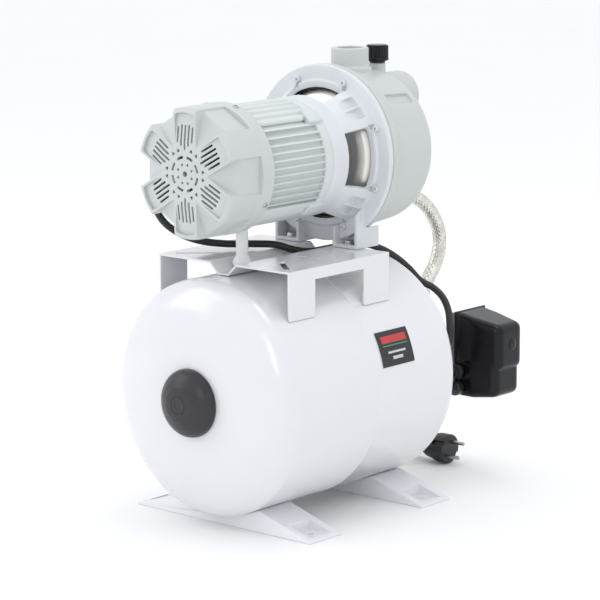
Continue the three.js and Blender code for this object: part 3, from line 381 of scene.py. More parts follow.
# ---------- cords ----------
GLAND_X, UPPER_GLAND_Z, LOWER_GLAND_Z = 79, 134, 114
LEAD_EXIT_X, LEAD_EXIT_Z = -98, 399.8
FLOOR_Z = LEAD_D / 2 + 0.1
COIL_X, COIL_Y, COIL_R, COIL_TURNS, COIL_PITCH = -90, 227, 46, 3.5, 8.6
COIL_REACH = 30
PLUG_X, PLUG_Y, PLUG_Z, PLUG_LEN, PLUG_ROLL = -8, COIL_Y + COIL_R, 19, 38, 58
COIL_TOP = FLOOR_Z + COIL_TURNS * COIL_PITCH

HOSE_PATH = [
    (0, 184.5, TAPPING_Z), (0, 196, TAPPING_Z), (0, 208, 351.3), (0, 222, 347.5), (0, 236, 341),
    (0, 252, 332.5), (0, 266, 321.5), (0, 277, 308.5), (0, 284.5, 295), (0, 287.7, 280), (0, 285.5, 265),
    (0, 279, 250.5), (0, 267.5, 237.5), (0, 257.6, 225), (0, MANIFOLD_Y + 0.2, 213), (0, MANIFOLD_Y, 200),
]
LEAD_PATH = [
    (LEAD_EXIT_X, -83, LEAD_EXIT_Z), (LEAD_EXIT_X, -94, LEAD_EXIT_Z), (LEAD_EXIT_X, -102, 399.4),
    (-99, -113, 392), (-100, -120, 376), (-99, -118, 359), (-96, -108, 342), (-88, -90, 327),
    (-75, -70, 317.5), (-57, -46, 312.8), (-35, -24, 312.2), (-15, -6, 311), (-3, 14, 303.6), (0, 36, 299),
    (0, 64, 298), (2, 92, 298.6), (6, 118, 298), (11, 135, 295.5), (16.5, 150, 289.5), (21.5, 164, 281.5),
    (27, 176, 272), (35, 184.5, 261), (45, 192, 247.5), (59, 199, 239.6), (73, 200, 229.5),
    (85, 196, 215.5), (92, 190, 201), (95, 186, 184), (92, 180, 166), (86, 176, 149), (80.5, 183, 138),
    (GLAND_X, 197, 134.3), (GLAND_X, 208, UPPER_GLAND_Z), (GLAND_X, 219, UPPER_GLAND_Z),
]
MAINS_PATH = [
    (GLAND_X, 219, LOWER_GLAND_Z), (GLAND_X, 208, LOWER_GLAND_Z), (GLAND_X, 198, 113.2), (77, 185, 106),
    (71, 176.5, 91), (61, 173.5, 73), (49, 173.5, 53), (35, 175.5, 33), (18, 178, 15), (0, 180, 6.6),
    (-18, 181, FLOOR_Z), (-40, COIL_Y - COIL_R, FLOOR_Z), (COIL_X + COIL_REACH, COIL_Y - COIL_R, FLOOR_Z),
]
TAIL_PATH = [
    (COIL_X + COIL_REACH, PLUG_Y, COIL_TOP - 4), (COIL_X + 38, PLUG_Y, COIL_TOP - 7),
    (PLUG_X - 34, PLUG_Y, 22), (PLUG_X - 22, PLUG_Y, PLUG_Z + 0.2), (PLUG_X - 12, PLUG_Y, PLUG_Z),
]


def coil_path():
    """The turns of the stored lead: a helix that leaves along +X at both of its ends."""
    per_turn = 20
    count = int(COIL_TURNS * per_turn)
    points = []
    for i in range(count + 1):
        turn = i / per_turn
        a = -math.pi / 2 - 2 * math.pi * turn
        height = FLOOR_Z + COIL_PITCH * turn
        points.append((COIL_X + COIL_R * math.cos(a), COIL_Y + COIL_R * math.sin(a), height))
    return points


def smooth_path(points, per_span=6):
    """The centripetal Catmull-Rom curve through the points."""
    p = [Vector(q) for q in points]
    p = [2 * p[0] - p[1], *p, 2 * p[-1] - p[-2]]
    line = []
    for a, b, c, d in zip(p, p[1:], p[2:], p[3:]):
        knots = [0.0]
        for u, v in ((a, b), (b, c), (c, d)):
            knots.append(knots[-1] + max(1e-6, (v - u).length) ** 0.5)
        for k in range(per_span):
            t = knots[1] + (knots[2] - knots[1]) * k / per_span

            def mix(u, v, i, j):
                return (u * (knots[j] - t) + v * (t - knots[i])) / (knots[j] - knots[i])

            ab, bc, cd = mix(a, b, 0, 1), mix(b, c, 1, 2), mix(c, d, 2, 3)
            line.append(mix(mix(ab, bc, 0, 2), mix(bc, cd, 1, 3), 1, 2))
    return [*line, p[-2]]


def path_length(points):
    return sum((b - a).length for a, b in zip(points, points[1:])) * MM


def round_cord(name, points, slot, replaces):
    curve = bpy.data.curves.new(name, "CURVE")
    curve.dimensions = "3D"
    curve.bevel_depth = LEAD_D / 2 * MM
    curve.bevel_resolution = 5
    curve.use_fill_caps = True
    spline = curve.splines.new("POLY")
    spline.points.add(len(points) - 1)
    for place, point in zip(spline.points, points):
        place.co = (*at(*point), 1)
    spline.use_smooth = True
    curve.materials.append(LOOKS[slot])
    made = add(name, curve)
    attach(made, "pump_set")
    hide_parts(*replaces)
    return made


BRAID_STRANDS = 12
BRAID_PITCH = 26
BRAID_DEPTH = 0.45


def braided_tube(points, radius, around=72, step=1.1):
    """A hose under a woven wire braid: two families of strands that pass over and under each other."""
    line = [Vector(p) for p in points]
    lengths = np.concatenate([[0], np.cumsum([(b - a).length for a, b in zip(line, line[1:])])])
    count = int(lengths[-1] / step)
    s = np.linspace(0, lengths[-1], count)
    centre = np.stack([np.interp(s, lengths, [p[k] for p in line]) for k in range(3)], axis=1)
    ahead = np.gradient(centre, axis=0)
    ahead /= np.linalg.norm(ahead, axis=1)[:, None]
    side = np.array((1.0, 0.0, 0.0))
    verts = []
    for i in range(count):
        up = np.cross(ahead[i], side)
        for j in range(around):
            a = 2 * math.pi * j / around
            left = math.cos(BRAID_STRANDS * (a + 2 * math.pi * s[i] / (BRAID_PITCH * BRAID_STRANDS) * 4))
            right = math.cos(BRAID_STRANDS * (a - 2 * math.pi * s[i] / (BRAID_PITCH * BRAID_STRANDS) * 4))
            r = radius - BRAID_DEPTH + BRAID_DEPTH * max(left, right)
            verts.append(centre[i] + r * (math.cos(a) * side + math.sin(a) * up))
    faces = []
    for i in range(count - 1):
        for j in range(around):
            k = (j + 1) % around
            faces.append((i * around + j, i * around + k, (i + 1) * around + k, (i + 1) * around + j))
    faces.append(tuple(range(around))[::-1])
    faces.append(tuple((count - 1) * around + j for j in range(around)))
    return solid(verts, faces)


def make_cords():
    hose_line = smooth_path(HOSE_PATH)
    hose = show(braided_tube(hose_line, HOSE_D / 2), "braided_hose_woven", "pump_set", "braid",
                ["braided_hose"], angle=60)
    lead_line = smooth_path(LEAD_PATH)
    lead = round_cord("motor_lead_round", lead_line, "black_rubber", ["motor_lead"])
    mains_line = smooth_path([*MAINS_PATH, *coil_path(), *TAIL_PATH], per_span=3)
    mains = round_cord("mains_lead_round", mains_line, "black_rubber",
                       ["mains_lead", "mains_coil", "mains_lead_tail"])
    make_plug()
    print("CORDS", [round(path_length(line), 3) for line in (hose_line, lead_line, mains_line)])


def make_plug():
    """The moulded plug: a waisted body with finger flats and an earth groove on each side."""
    body = turned(rounded([
        (0, -24), (6.4, -24, 1.2), (8, -2, 3), (12, 2, 4), (16, 10, 5), (18.4, 24, 3), (18.4, PLUG_LEN, 1.5),
        (0, PLUG_LEN),
    ]), 72, "x")
    ribs = [turned(rounded([(5, h), (9.4, h, 0.5), (9.4, h + 1.4, 0.5), (5, h + 1.4)], loop=True), 24, "x")
            for h in range(-22, -6, 4)]
    tools = [block(22, PLUG_LEN + 1, -3, 3, s * 17 - 2, s * 17 + 2) for s in (-1, 1)]
    tools += [rod(2.8, 20, PLUG_LEN + 1, 24, "x", y=s * 9.5) for s in (-1, 1)]
    tools += [block(4, 20, s * 17 - 3, s * 17 + 3, -9, 9, 2) for s in (-1, 1)]
    made = cut(body, *ribs, *tools)
    roll = Matrix.Rotation(math.radians(PLUG_ROLL), 4, "X")
    moved(made, Matrix.Translation((PLUG_X, PLUG_Y, PLUG_Z)) @ roll)
    return show(made, "plug_body_moulded", "pump_set", "black_rubber", ["plug_body"])


# ---------- pressure tank ----------
def dome_y(r, radius=TANK_R):
    return TANK_HALF + TANK_DOME * math.sqrt(max(0.0, 1 - (r / radius) ** TANK_POWER))


def tank_side(radius, steps, inset=0.0):
    """Half of the tank's outline, from the mouth's edge to the straight side."""
    line = []
    for i in range(steps + 1):
        r = radius * math.sin(math.pi / 2 * (1 - i / steps))
        line.append((max(r, TANK_MOUTH), dome_y(r, radius) - inset))
        if r <= TANK_MOUTH:
            break
    return line


def make_tank():
    outer = tank_side(TANK_R, 44)
    inner = tank_side(TANK_R - TANK_WALL, 12, TANK_WALL)
    seam = [(TANK_R, -2.6), (TANK_R + 0.25, -1.9), (TANK_R + 0.6, -0.7), (TANK_R + 0.6, 0.7),
            (TANK_R + 0.25, 1.9), (TANK_R, 2.6)]
    front = [(r, -y) for r, y in outer]
    profile = [*reversed(front), *seam, *outer, *reversed(inner), *[(r, -y) for r, y in inner]]
    return show(turned(profile, 192, z=TANK_Z), "tank_shell_pressed", "pump_set", "white_paint",
                ["tank_shell"], angle=50)


def make_tank_cap():
    """The black screw cap on the air valve: a low dome with a ring sunk in its face."""
    f = -190
    rear = -dome_y(TANK_MOUTH) - 0.5
    profile = rounded([
        (0, f + 0.9), (5, f + 0.9, 0.4), (5.6, f + 0.3, 0.4), (9, f + 0.35, 0.4), (9.6, f + 1.2, 0.3),
        (11.2, f + 1.25, 0.3), (12, f + 0.5, 0.6), (20, f + 1.6, 8), (29, f + 5.2, 12), (35.5, f + 9.8, 7),
        (38.6, f + 14.4, 4), (39.6, f + 19, 3), (39.6, rear, 1), (37.1, rear), (36.1, f + 16), (32, f + 10),
        (22, f + 5.5), (0, f + 3),
    ], steps=6)
    made = turned(profile, 120, z=TANK_Z)
    return show(made, "tank_air_cap_domed", "tank_cap", "black_cap", ["tank_air_cap"], angle=40)


# ---------- fan cover ----------
FLUTE_APEX, FLUTE_FLOOR, FLUTE_FLOOR_DY, FLUTE_END_DY = 34, 69, 13.9, 48
FLUTE_REACH = 95
SLOT_PITCH, SLOT_W = 5.4, 2.7


def flute(skin=0.0):
    """The gap between two petals: a sloping floor, then a flat one, and a step up to the round rim."""
    front = COVER_FRONT - 3
    apex = FLUTE_APEX - 2 * skin
    floor = FLUTE_FLOOR - skin
    end = COVER_FRONT + FLUTE_END_DY + skin
    section = rounded([
        (front, apex), (COVER_FRONT + 0.5 * skin, apex), (COVER_FRONT + FLUTE_FLOOR_DY + skin, floor, 6),
        (end, floor), (end, FLUTE_REACH), (front, FLUTE_REACH),
    ], loop=True, steps=6)
    count = len(section)
    slope = math.tan(math.pi / PETALS)
    verts = [(side * (h - apex + 0.02) * slope, y, SHAFT_Z + h) for side in (-1, 1) for y, h in section]
    faces = [tuple(range(count)), tuple(range(count, 2 * count))[::-1]]
    faces += [(i, count + i, count + (i + 1) % count, (i + 1) % count) for i in range(count)]
    return solid(verts, faces)


def stadium(x, low, high, width):
    r = width / 2
    ends = [(x + r * math.cos(a), high - r + r * math.sin(a)) for a in np.linspace(0, math.pi, 7)]
    ends += [(x + r * math.cos(a), low + r + r * math.sin(a)) for a in np.linspace(math.pi, 2 * math.pi, 7)]
    return ends


def raised(outline):
    return [(x, SHAFT_Z + z) for x, z in outline]


def petal_tools():
    """What is cut from one petal at the top: its ramped face inside the raised lip, and its slots."""
    half, top, low, ramp = 14.4, 69.2, 36.5, 0.125
    face = rounded([
        (-half, low), (half, low), (half, top - 2.6, 3), (0, top + 0.4, 30), (-half, top - 2.6, 3),
    ], loop=True)
    tools = [pushed(raised(face), COVER_FRONT - 2,
                    lambda p: COVER_FRONT + 0.02 + max(0, p[1] - SHAFT_Z - low) * ramp)]
    for j in range(-2, 3):
        reach = {0: (26.8, 55), 1: (31, 55.5), 2: (35, 53)}[abs(j)]
        slot = raised(stadium(j * SLOT_PITCH, *reach, SLOT_W))
        tools.append(pushed(slot, COVER_FRONT - 2, COVER_FRONT + 12))
    return tools


def small_hole(radius, degrees, size):
    """A three-sided vent hole on a circle about the shaft."""
    corners = [(size * math.sin(a), radius + size * math.cos(a)) for a in (0, 2.094, 4.189)]
    made = pushed(raised(rounded([(*c, size / 4) for c in corners], loop=True, steps=2)),
                  COVER_FRONT - 2, COVER_FRONT + 9)
    return about_shaft(made, degrees)


def arc_slot(radius, degrees, width, spread):
    angles = np.linspace(-spread / 2, spread / 2, 7)
    outer, inner = radius + width / 2, radius - width / 2
    outline = [(outer * math.sin(a), outer * math.cos(a)) for a in angles]
    outline += [(inner * math.sin(a), inner * math.cos(a)) for a in angles[::-1]]
    return about_shaft(pushed(raised(outline), COVER_FRONT - 2, COVER_FRONT + 9), degrees)


def make_fan_cover():
    f, r = COVER_FRONT, COVER_R
    outside = turned(rounded([
        (0, f), (r - 0.6, f, 6.5), (r - 0.6, f + 50.5, 0.8), (r, f + 52, 0.8), (r, COVER_REAR, 1),
        (0, COVER_REAR),
    ], steps=8), 180, z=SHAFT_Z)
    skin = COVER_WALL
    inside = turned(rounded([
        (0, f + 5.8), (r - 0.6 - skin, f + 5.8, 6), (r - skin, f + 52), (r - skin, COVER_REAR + 1),
        (0, COVER_REAR + 1),
    ]), 90, z=SHAFT_Z)
    half_turn = PETAL_STEP / 2
    angles = [k * PETAL_STEP for k in range(PETALS)]
    cut(outside, *[about_shaft(flute(), a + half_turn) for a in angles])
    bevelled(outside, 1.1, angle=20, segments=3)
    cut(inside, *[about_shaft(flute(skin), a + half_turn) for a in angles])
    tools = [about_shaft(tool, a) for a in angles for tool in petal_tools()]
    tools.append(rod(3.3, f - 2, f + 9, 24, z=SHAFT_Z))
    tools += [small_hole(11, 22.5 + 45 * k, 2.6) for k in range(8)]
    tools += [arc_slot(19, 22.5 + 45 * k, 3.1, 0.50) for k in range(8)]
    tools += [small_hole(27.5, half_turn + k * PETAL_STEP + s * 9, 3.3)
              for k in range(PETALS) for s in (-1, 1)]
    made = cut(outside, inside, *tools)
    show(made, "fan_cover_petals", "pump_set", "grey_plastic", ["fan_cover"], angle=24)
    for k, degrees in enumerate((18, 118, 242, 342)):
        head = screw_head(3.6, COVER_R - 0.4, COVER_REAR - 7)
        show(about_shaft(head, degrees), f"fan_cover_screw_{k + 1}", "pump_set", "steel")


def screw_head(r, radius, y):
    """A pan head with a crossed recess, standing out from the shaft at the top."""
    head = turned(rounded([(0, 0), (r, 0), (r, 1.5, 1.1), (0, 2.0)]), 32, "z", y=y, z=SHAFT_Z + radius)
    bars = [block(-r * 0.62, r * 0.62, y - 0.4, y + 0.4, SHAFT_Z + radius + 0.9, SHAFT_Z + radius + 4),
            block(-0.4, 0.4, y - r * 0.62, y + r * 0.62, SHAFT_Z + radius + 0.9, SHAFT_Z + radius + 4)]
    return cut(head, *bars)


# ---------- motor ----------
HOUSING_REAR, HOUSING_FRONT = 0, -106.7
FIN_TIP_R, FIN_ROOT_R, BAND_R = 70.5, 65.4, 70.5
FIN_PITCH, FIN_T, FIN_LOW_Z, FIN_COUNT = 8.4, 2.0, -39.0, 11
RIB_COUNT, RIB_DEPTH = 5, 2.2


def on_circle(r, a):
    return (r * math.cos(a), r * math.sin(a))


def finned_side():
    """The right half of the motor's outline, from the bottom to the top, about the shaft."""
    line = [on_circle(BAND_R, a) for a in np.linspace(-math.pi / 2, math.asin((FIN_LOW_Z - 5) / BAND_R), 24)]
    for k in range(FIN_COUNT):
        z = FIN_LOW_Z + k * FIN_PITCH
        low, high = z - FIN_T / 2, z + FIN_T / 2

        def out(r, h):
            return math.sqrt(r * r - h * h)

        line += [(out(FIN_ROOT_R, low - 2.6), low - 2.6), (out(FIN_ROOT_R + 0.5, low - 1.2), low - 1.2),
                 (out(FIN_ROOT_R + 1.4, low - 0.4), low - 0.4), (out(FIN_TIP_R, low) - 0.6, low),
                 (out(FIN_TIP_R, low), low + 0.5), (out(FIN_TIP_R, high), high - 0.5),
                 (out(FIN_TIP_R, high) - 0.6, high), (out(FIN_ROOT_R + 1.4, high + 0.4), high + 0.4),
                 (out(FIN_ROOT_R + 0.5, high + 1.2), high + 1.2), (out(FIN_ROOT_R, high + 2.6), high + 2.6)]
    start = math.asin((FIN_LOW_Z + FIN_COUNT * FIN_PITCH - 2) / FIN_TIP_R)
    step = (math.pi / 2 - start) / RIB_COUNT
    for k in range(RIB_COUNT):
        a = start + step * k
        line += [on_circle(FIN_TIP_R - RIB_DEPTH, a), on_circle(FIN_TIP_R - 0.4, a + step * 0.14),
                 on_circle(FIN_TIP_R, a + step * 0.22), on_circle(FIN_TIP_R, a + step * 0.52),
                 on_circle(FIN_TIP_R - 0.4, a + step * 0.62),
                 on_circle(FIN_TIP_R - RIB_DEPTH, a + step * 0.78)]
    return line


def make_housing():
    right = finned_side()
    left = [(-x, z) for x, z in right[1:]][::-1]
    body = pushed(raised([*right, *left]), HOUSING_FRONT, HOUSING_REAR - 12)
    collar = turned(rounded([(60, -13), (69.4, -13, 1.5), (70.4, -9, 1.5), (70.4, HOUSING_REAR, 0.8),
                             (60, HOUSING_REAR)], loop=True), 144, z=SHAFT_Z)
    bosses = [about_shaft(block(-8.5, 8.5, -24, -0.4, SHAFT_Z + 60, SHAFT_Z + 73.5, 1.2), a)
              for a in (42, 138, 222, 318)]
    pad = block(-80, -60, -88, -14, SHAFT_Z - 26, SHAFT_Z + 26, 1)
    made = fused(body, collar, pad, *bosses)
    bore = rod(57.8, HOUSING_FRONT - 1, HOUSING_REAR + 1, 96, z=SHAFT_Z)
    cut(made, bore)
    bevelled(made, 0.35, angle=40, segments=2)
    show(made, "motor_housing_finned", "pump_set", "grey_alloy", ["motor_housing"], angle=30)
    for k, degrees in enumerate((42, 138, 222, 318)):
        head = rod(3.4, -26.2, -23.8, 32, soft=0.8, z=SHAFT_Z + 68)
        cut(head, block(-2.4, 2.4, -27, -25.2, SHAFT_Z + 67.5, SHAFT_Z + 68.5),
            block(-0.5, 0.5, -27, -25.2, SHAFT_Z + 65.6, SHAFT_Z + 70.4))
        show(about_shaft(head, degrees), f"motor_tie_screw_{k + 1}", "pump_set", "steel")


# ---------- adapter between motor and pump ----------
WINDOW_HALF_DEG = 26
LEG_X0, LEG_X1, LEG_Y0, LEG_Y1 = 26, 63.5, 49, 90
LEG_WEB_Y, LEG_SHEET, LEG_TOP, LEG_FOOT_Z = 69, 4, 356, 305.9


def make_adapter():
    bell = turned(rounded([
        (20.3, 0.3), (69.5, 0.3, 0.8), (70.5, 3, 1), (70.5, 25, 8), (87, 61), (78.5, 61), (66, 29, 4),
        (66, 8), (26, 8), (26, 16), (12, 16), (12, 12.6), (20.3, 12.6),
    ], loop=True), 144, z=SHAFT_Z)
    ring = turned(rounded([
        (RING_IN, RING_Y0 - 1.6, 0.5), (85.2, RING_Y0 - 1.6, 0.5), (85.8, RING_Y0, 0.3),
        (RING_R, RING_Y0, 1.2), (RING_R, RING_Y1, 0.4), (RING_IN, RING_Y1, 0.4),
    ], loop=True), 180, z=SHAFT_Z)
    slope = math.tan(math.radians(WINDOW_HALF_DEG))
    tools = []
    for k in range(4):
        window = pushed(raised([(0, 0), (-110 * slope, 110), (110 * slope, 110)]), 26.5, 57.5)
        tools.append(about_shaft(window, k * 90))
        for s in (-1, 1):
            floor = [(36, 75.4 + SHAFT_Z), (57.8, 77.7 + SHAFT_Z), (57.8, 99 + SHAFT_Z), (36, 99 + SHAFT_Z)]
            pocket = pushed(floor, *sorted((s * 1.4, s * 15)), "x")
            tools.append(about_shaft(pocket, 45 + k * 90))
            notch = block(s * 36 - 2.6, s * 36 + 2.6, 55, 63, SHAFT_Z + 74.5, SHAFT_Z + 80)
            tools.append(about_shaft(notch, k * 90))
    made = cut(fused(bell, ring), *tools)
    legs = []
    for s in (-1, 1):
        def span(u, v):
            return (u, v) if s > 0 else (-v, -u)

        sheet, low = LEG_SHEET, LEG_FOOT_Z
        side = [(LEG_Y0, low), (LEG_Y1, low), (LEG_Y1, LEG_TOP), (LEG_Y0 + 9, LEG_TOP),
                (LEG_Y0, LEG_TOP - 12)]
        legs.append(pushed(side, *span(LEG_X0, LEG_X0 + sheet), "x"))
        legs.append(pushed(side, *span(LEG_X1 - sheet, LEG_X1), "x"))
        legs.append(block(*span(LEG_X0, LEG_X1), LEG_WEB_Y, LEG_WEB_Y + sheet, low, LEG_TOP))
        legs.append(block(*span(LEG_X0, LEG_X1), LEG_Y0, LEG_Y1, low, low + sheet))
    standing = fused(*legs)
    cut(standing, rod(88, 30, RING_Y0 + 1, 96, z=SHAFT_Z), rod(RING_R + 0.3, RING_Y1, 120, 144, z=SHAFT_Z),
        rod(RING_IN, RING_Y0, RING_Y1 + 1, 96, z=SHAFT_Z))
    fused(made, standing)
    cast(made, 0.85, 2)
    show(made, "pump_adapter_cast", "pump_set", "cast_alloy", ["pump_adapter"], angle=60)
    for k in range(8):
        bolt = rod(3.7, RING_Y0 - 3.4, RING_Y0 - 0.1, 40, soft=0.6, z=SHAFT_Z + 91.5)
        cut(bolt, rod(1.9, RING_Y0 - 4, RING_Y0 - 1.4, 6, z=SHAFT_Z + 91.5))
        show(about_shaft(bolt, 22.5 + 45 * k), f"casing_bolt_{k + 1}", "pump_set", "cast_alloy")
    for s in (-1, 1):
        bolt = turned([(0, 309.9), (5.6, 309.9), (5.6, 314.4), (0, 314.4)], 6, "z", x=s * 45, y=58)
        washer = rod(8, 309.6, 311.1, 40, "z", soft=0.3, x=s * 45, y=58)
        side = "right" if s > 0 else "left"
        show(fused(bevelled(bolt, 0.5), washer), f"leg_bolt_{side}", "pump_set", "steel")


def make_seal_plate():
    plate = turned(rounded([
        (86.5, 68.3), (79, 68.3, 1.5), (69.4, 58, 5), (60, 54.5, 10), (21, 53), (21, 54.7), (59, 56.2, 10),
        (68.6, 59.7, 5), (78, 69.9, 1.5), (86.5, 69.9),
    ], loop=True), 180, z=SHAFT_Z)
    show(plate, "seal_plate_pressed", "pump_set", "stainless", ["seal_plate"], angle=60)
    gasket = turned(rounded([(79.8, 66.8), (86.5, 66.8), (86.5, 68), (79.8, 68)], loop=True), 144, z=SHAFT_Z)
    # painted shade: a black ring just inside the adapter ring's inner edge, standing in for the shadow gap
    # seen at the edges of the windows
    lip = turned([(75.4, 61.2), (78.4, 61.2), (78.4, 66.4), (78, 66.4)], 144, z=SHAFT_Z)
    show(lip, "window_edge_shade_ring", "pump_set", "black_rubber")
    show(gasket, "casing_gasket_round", "pump_set", "black_rubber", ["casing_gasket"])


# ---------- pump casing ----------
LOBE_R, LOBE_Z, LOBE_Y0, LOBE_Y1 = 29, 470, 120, 213
PORT_BORE = 15.3
DISCHARGE_Y, DISCHARGE_R, DISCHARGE_TOP = 112.7, 22.3, 534
RECESS_DEG, PIP_DEG = 47, (66, 114, -66, -114)
PRIMING_Y, PRIMING_NECK_R, PRIMING_NECK_TOP, PRIMING_HEAD_R, PRIMING_TOP = 164, 10, 512, 13.8, 533.5


def make_casing():
    outside = turned(rounded([
        (0, 66.8), (RING_R - 2.4, 66.8), (RING_R - 2.4, 68.6), (RING_R, 68.6, 0.3),
        (RING_R, 76, 1.5), (DRUM_R + 0.8, 79, 2), (DRUM_REAR_R, DRUM_END, DRUM_CORNER), (0, DRUM_END),
    ], steps=12), 180, z=SHAFT_Z)
    lobe = turned(rounded([(0, LOBE_Y0), (LOBE_R, LOBE_Y0, 8), (LOBE_R, LOBE_Y1, 8), (0, LOBE_Y1)], steps=6),
                  96, z=LOBE_Z)
    discharge = rod(DISCHARGE_R, 470, DISCHARGE_TOP, 96, "z", soft=1.4, y=DISCHARGE_Y)
    collar = rod(DISCHARGE_R + 3.5, 470, 512, 96, "z", soft=3, y=DISCHARGE_Y)
    bridge = block(-13, 13, DISCHARGE_Y, PRIMING_Y, 480, 503, 5)
    neck = rod(PRIMING_NECK_R, 480, PRIMING_NECK_TOP, 64, "z", y=PRIMING_Y)
    tapping = rod(14, DRUM_END - 10, DRUM_END + 5, 64, soft=1, z=TAPPING_Z)
    drain = rod(11, DRUM_END - 10, DRUM_END + 5, 64, soft=1, x=DRAIN_X, z=TAPPING_Z)
    made = fused(outside, lobe, discharge, collar, bridge, neck, tapping, drain)
    inside = turned([(0, 60), (87.5, 60), (87.5, 70.2), (86, 70.2), (86, 76), (90, 80), (84, 148), (76, 156),
                     (0, 156)], 96, z=SHAFT_Z)
    tools = [
        inside,
        rod(PORT_BORE, 150, LOBE_Y1 + 1, 64, z=LOBE_Z),
        rod(PORT_BORE, 470, DISCHARGE_TOP + 1, 64, "z", y=DISCHARGE_Y),
        rod(7.2, 470, PRIMING_NECK_TOP + 1, 40, "z", y=PRIMING_Y),
        rod(8.4, DRUM_END - 12, DRUM_END + 6, 40, z=TAPPING_Z),
        rod(6.6, DRUM_END - 12, DRUM_END + 6, 40, x=DRAIN_X, z=TAPPING_Z),
    ]
    for s in (-1, 1):
        lobe_slot = block(*sorted((s * 25.5, s * 33)), 163, 197, 461, 473, 1)
        # a long recess in the drum's shoulder, whose floor follows the drum's taper
        floor = [(97, 91.6 + SHAFT_Z), (144, 87.8 + SHAFT_Z), (144, 106 + SHAFT_Z), (97, 106 + SHAFT_Z)]
        tools += [lobe_slot, about_shaft(pushed(floor, -6.6, 6.6, "x"), s * RECESS_DEG)]
    cut(made, *tools)
    pips = [about_shaft(rod(1.7, SHAFT_Z + 92, SHAFT_Z + 95.9, 24, "z", soft=0.4, y=97), a)
            for a in PIP_DEG]
    fused(made, *pips)
    cast(made, 0.95, 2)
    return show(made, "pump_casing_cast", "pump_set", "grey_paint", ["pump_casing"], angle=60)


def make_priming_plug():
    """The black plug: a washer face, a fluted grip and a flat round crown on top."""
    flutes = 20
    grip = [on_circle(PRIMING_HEAD_R - 0.9 + 0.45 * math.cos(flutes * a), a)
            for a in np.linspace(0, 2 * math.pi, flutes * 8, endpoint=False)]
    head = pushed([(x, y + PRIMING_Y) for x, y in grip], 517, 532.4, "z")
    crown = rod(PRIMING_HEAD_R - 1.6, 526, PRIMING_TOP, 72, "z", soft=1, y=PRIMING_Y)
    face = rod(PRIMING_HEAD_R, 514.6, 518, 72, "z", soft=0.8, y=PRIMING_Y)
    stem = rod(6.9, 498, 516, 40, "z", soft=0.6, y=PRIMING_Y)
    made = fused(head, crown, face, stem)
    return show(made, "priming_plug_fluted", "priming_cap", "black_plastic", ["priming_plug"], angle=28)


# ---------- pressure switch ----------
SWITCH_X0, SWITCH_FACE, SWITCH_Y0, SWITCH_Y1, SWITCH_Z0, SWITCH_Z1 = 66, 133, 225, 285, 102, 207
COVER_BACK = SWITCH_X0 + 5.3
SIDE_KNEE = 97
COVER_SOFT, COVER_FLOOR, COVER_ROOF = 8.5, 6, 7


def tapered_box(x0, x1, inset0, inset1, low, high, soft):
    """A rounded box between two heights, straight from x0 to the knee and narrower from there to x1."""
    near, far = SWITCH_Y0, SWITCH_Y1
    outline = [(x0, near + inset0), (SIDE_KNEE, near + inset0), (x1, near + inset1),
               (x1, far - inset1), (SIDE_KNEE, far - inset0), (x0, far - inset0)]
    count = len(outline)
    verts = [(x, y, low(x)) for x, y in outline] + [(x, y, high(x)) for x, y in outline]
    faces = [(5, 4, 1, 0), (4, 3, 2, 1)]
    faces += [tuple(count + i for i in face[::-1]) for face in faces]
    faces += [(i, (i + 1) % count, count + (i + 1) % count, count + i) for i in range(count)]
    return bevelled(solid(verts, faces), soft, segments=5)


def make_switch_cover():
    def top(x):
        return SWITCH_Z1 - max(0, x - COVER_BACK) * 0.19

    def bottom(x):
        return SWITCH_Z0 + max(0, x - SIDE_KNEE) * 0.12

    upper = tapered_box(COVER_BACK, SWITCH_FACE + 3.6, 0.2, 6.4,
                        lambda x: SWITCH_Z0 + 40 - (x - COVER_BACK) * 0.05, top, COVER_SOFT)
    lower = tapered_box(COVER_BACK, SWITCH_FACE - 1, 0.8, 5.6, bottom,
                        lambda x: SWITCH_Z0 + 60, COVER_SOFT)
    rim = block(COVER_BACK, COVER_BACK + 4, SWITCH_Y0, SWITCH_Y1, SWITCH_Z0, SWITCH_Z1, 1.2)
    nut = rod(6.5, SWITCH_FACE - 4, SWITCH_FACE + 4.4, 48, "x", soft=1, y=SWITCH_Y0 + 32, z=SWITCH_Z0 + 68)
    made = fused(upper, lower, rim, nut)
    hollow = tapered_box(COVER_BACK - 2, SWITCH_FACE - 6, 3, 9.5,
                         lambda x: bottom(x) + COVER_FLOOR, lambda x: top(x) - COVER_ROOF, 6.5)
    cut(made, hollow)
    cast(made, 0.9, 6)
    return show(made, "switch_cover_moulded", "pump_set", "black_plastic", ["switch_cover"], angle=60)


# ---------- rating plate, with plain coloured fields ----------
LABEL_Y0, LABEL_Y1, LABEL_A0, LABEL_A1, LABEL_T = 10.8, 67.6, 12, 29.2, 0.5


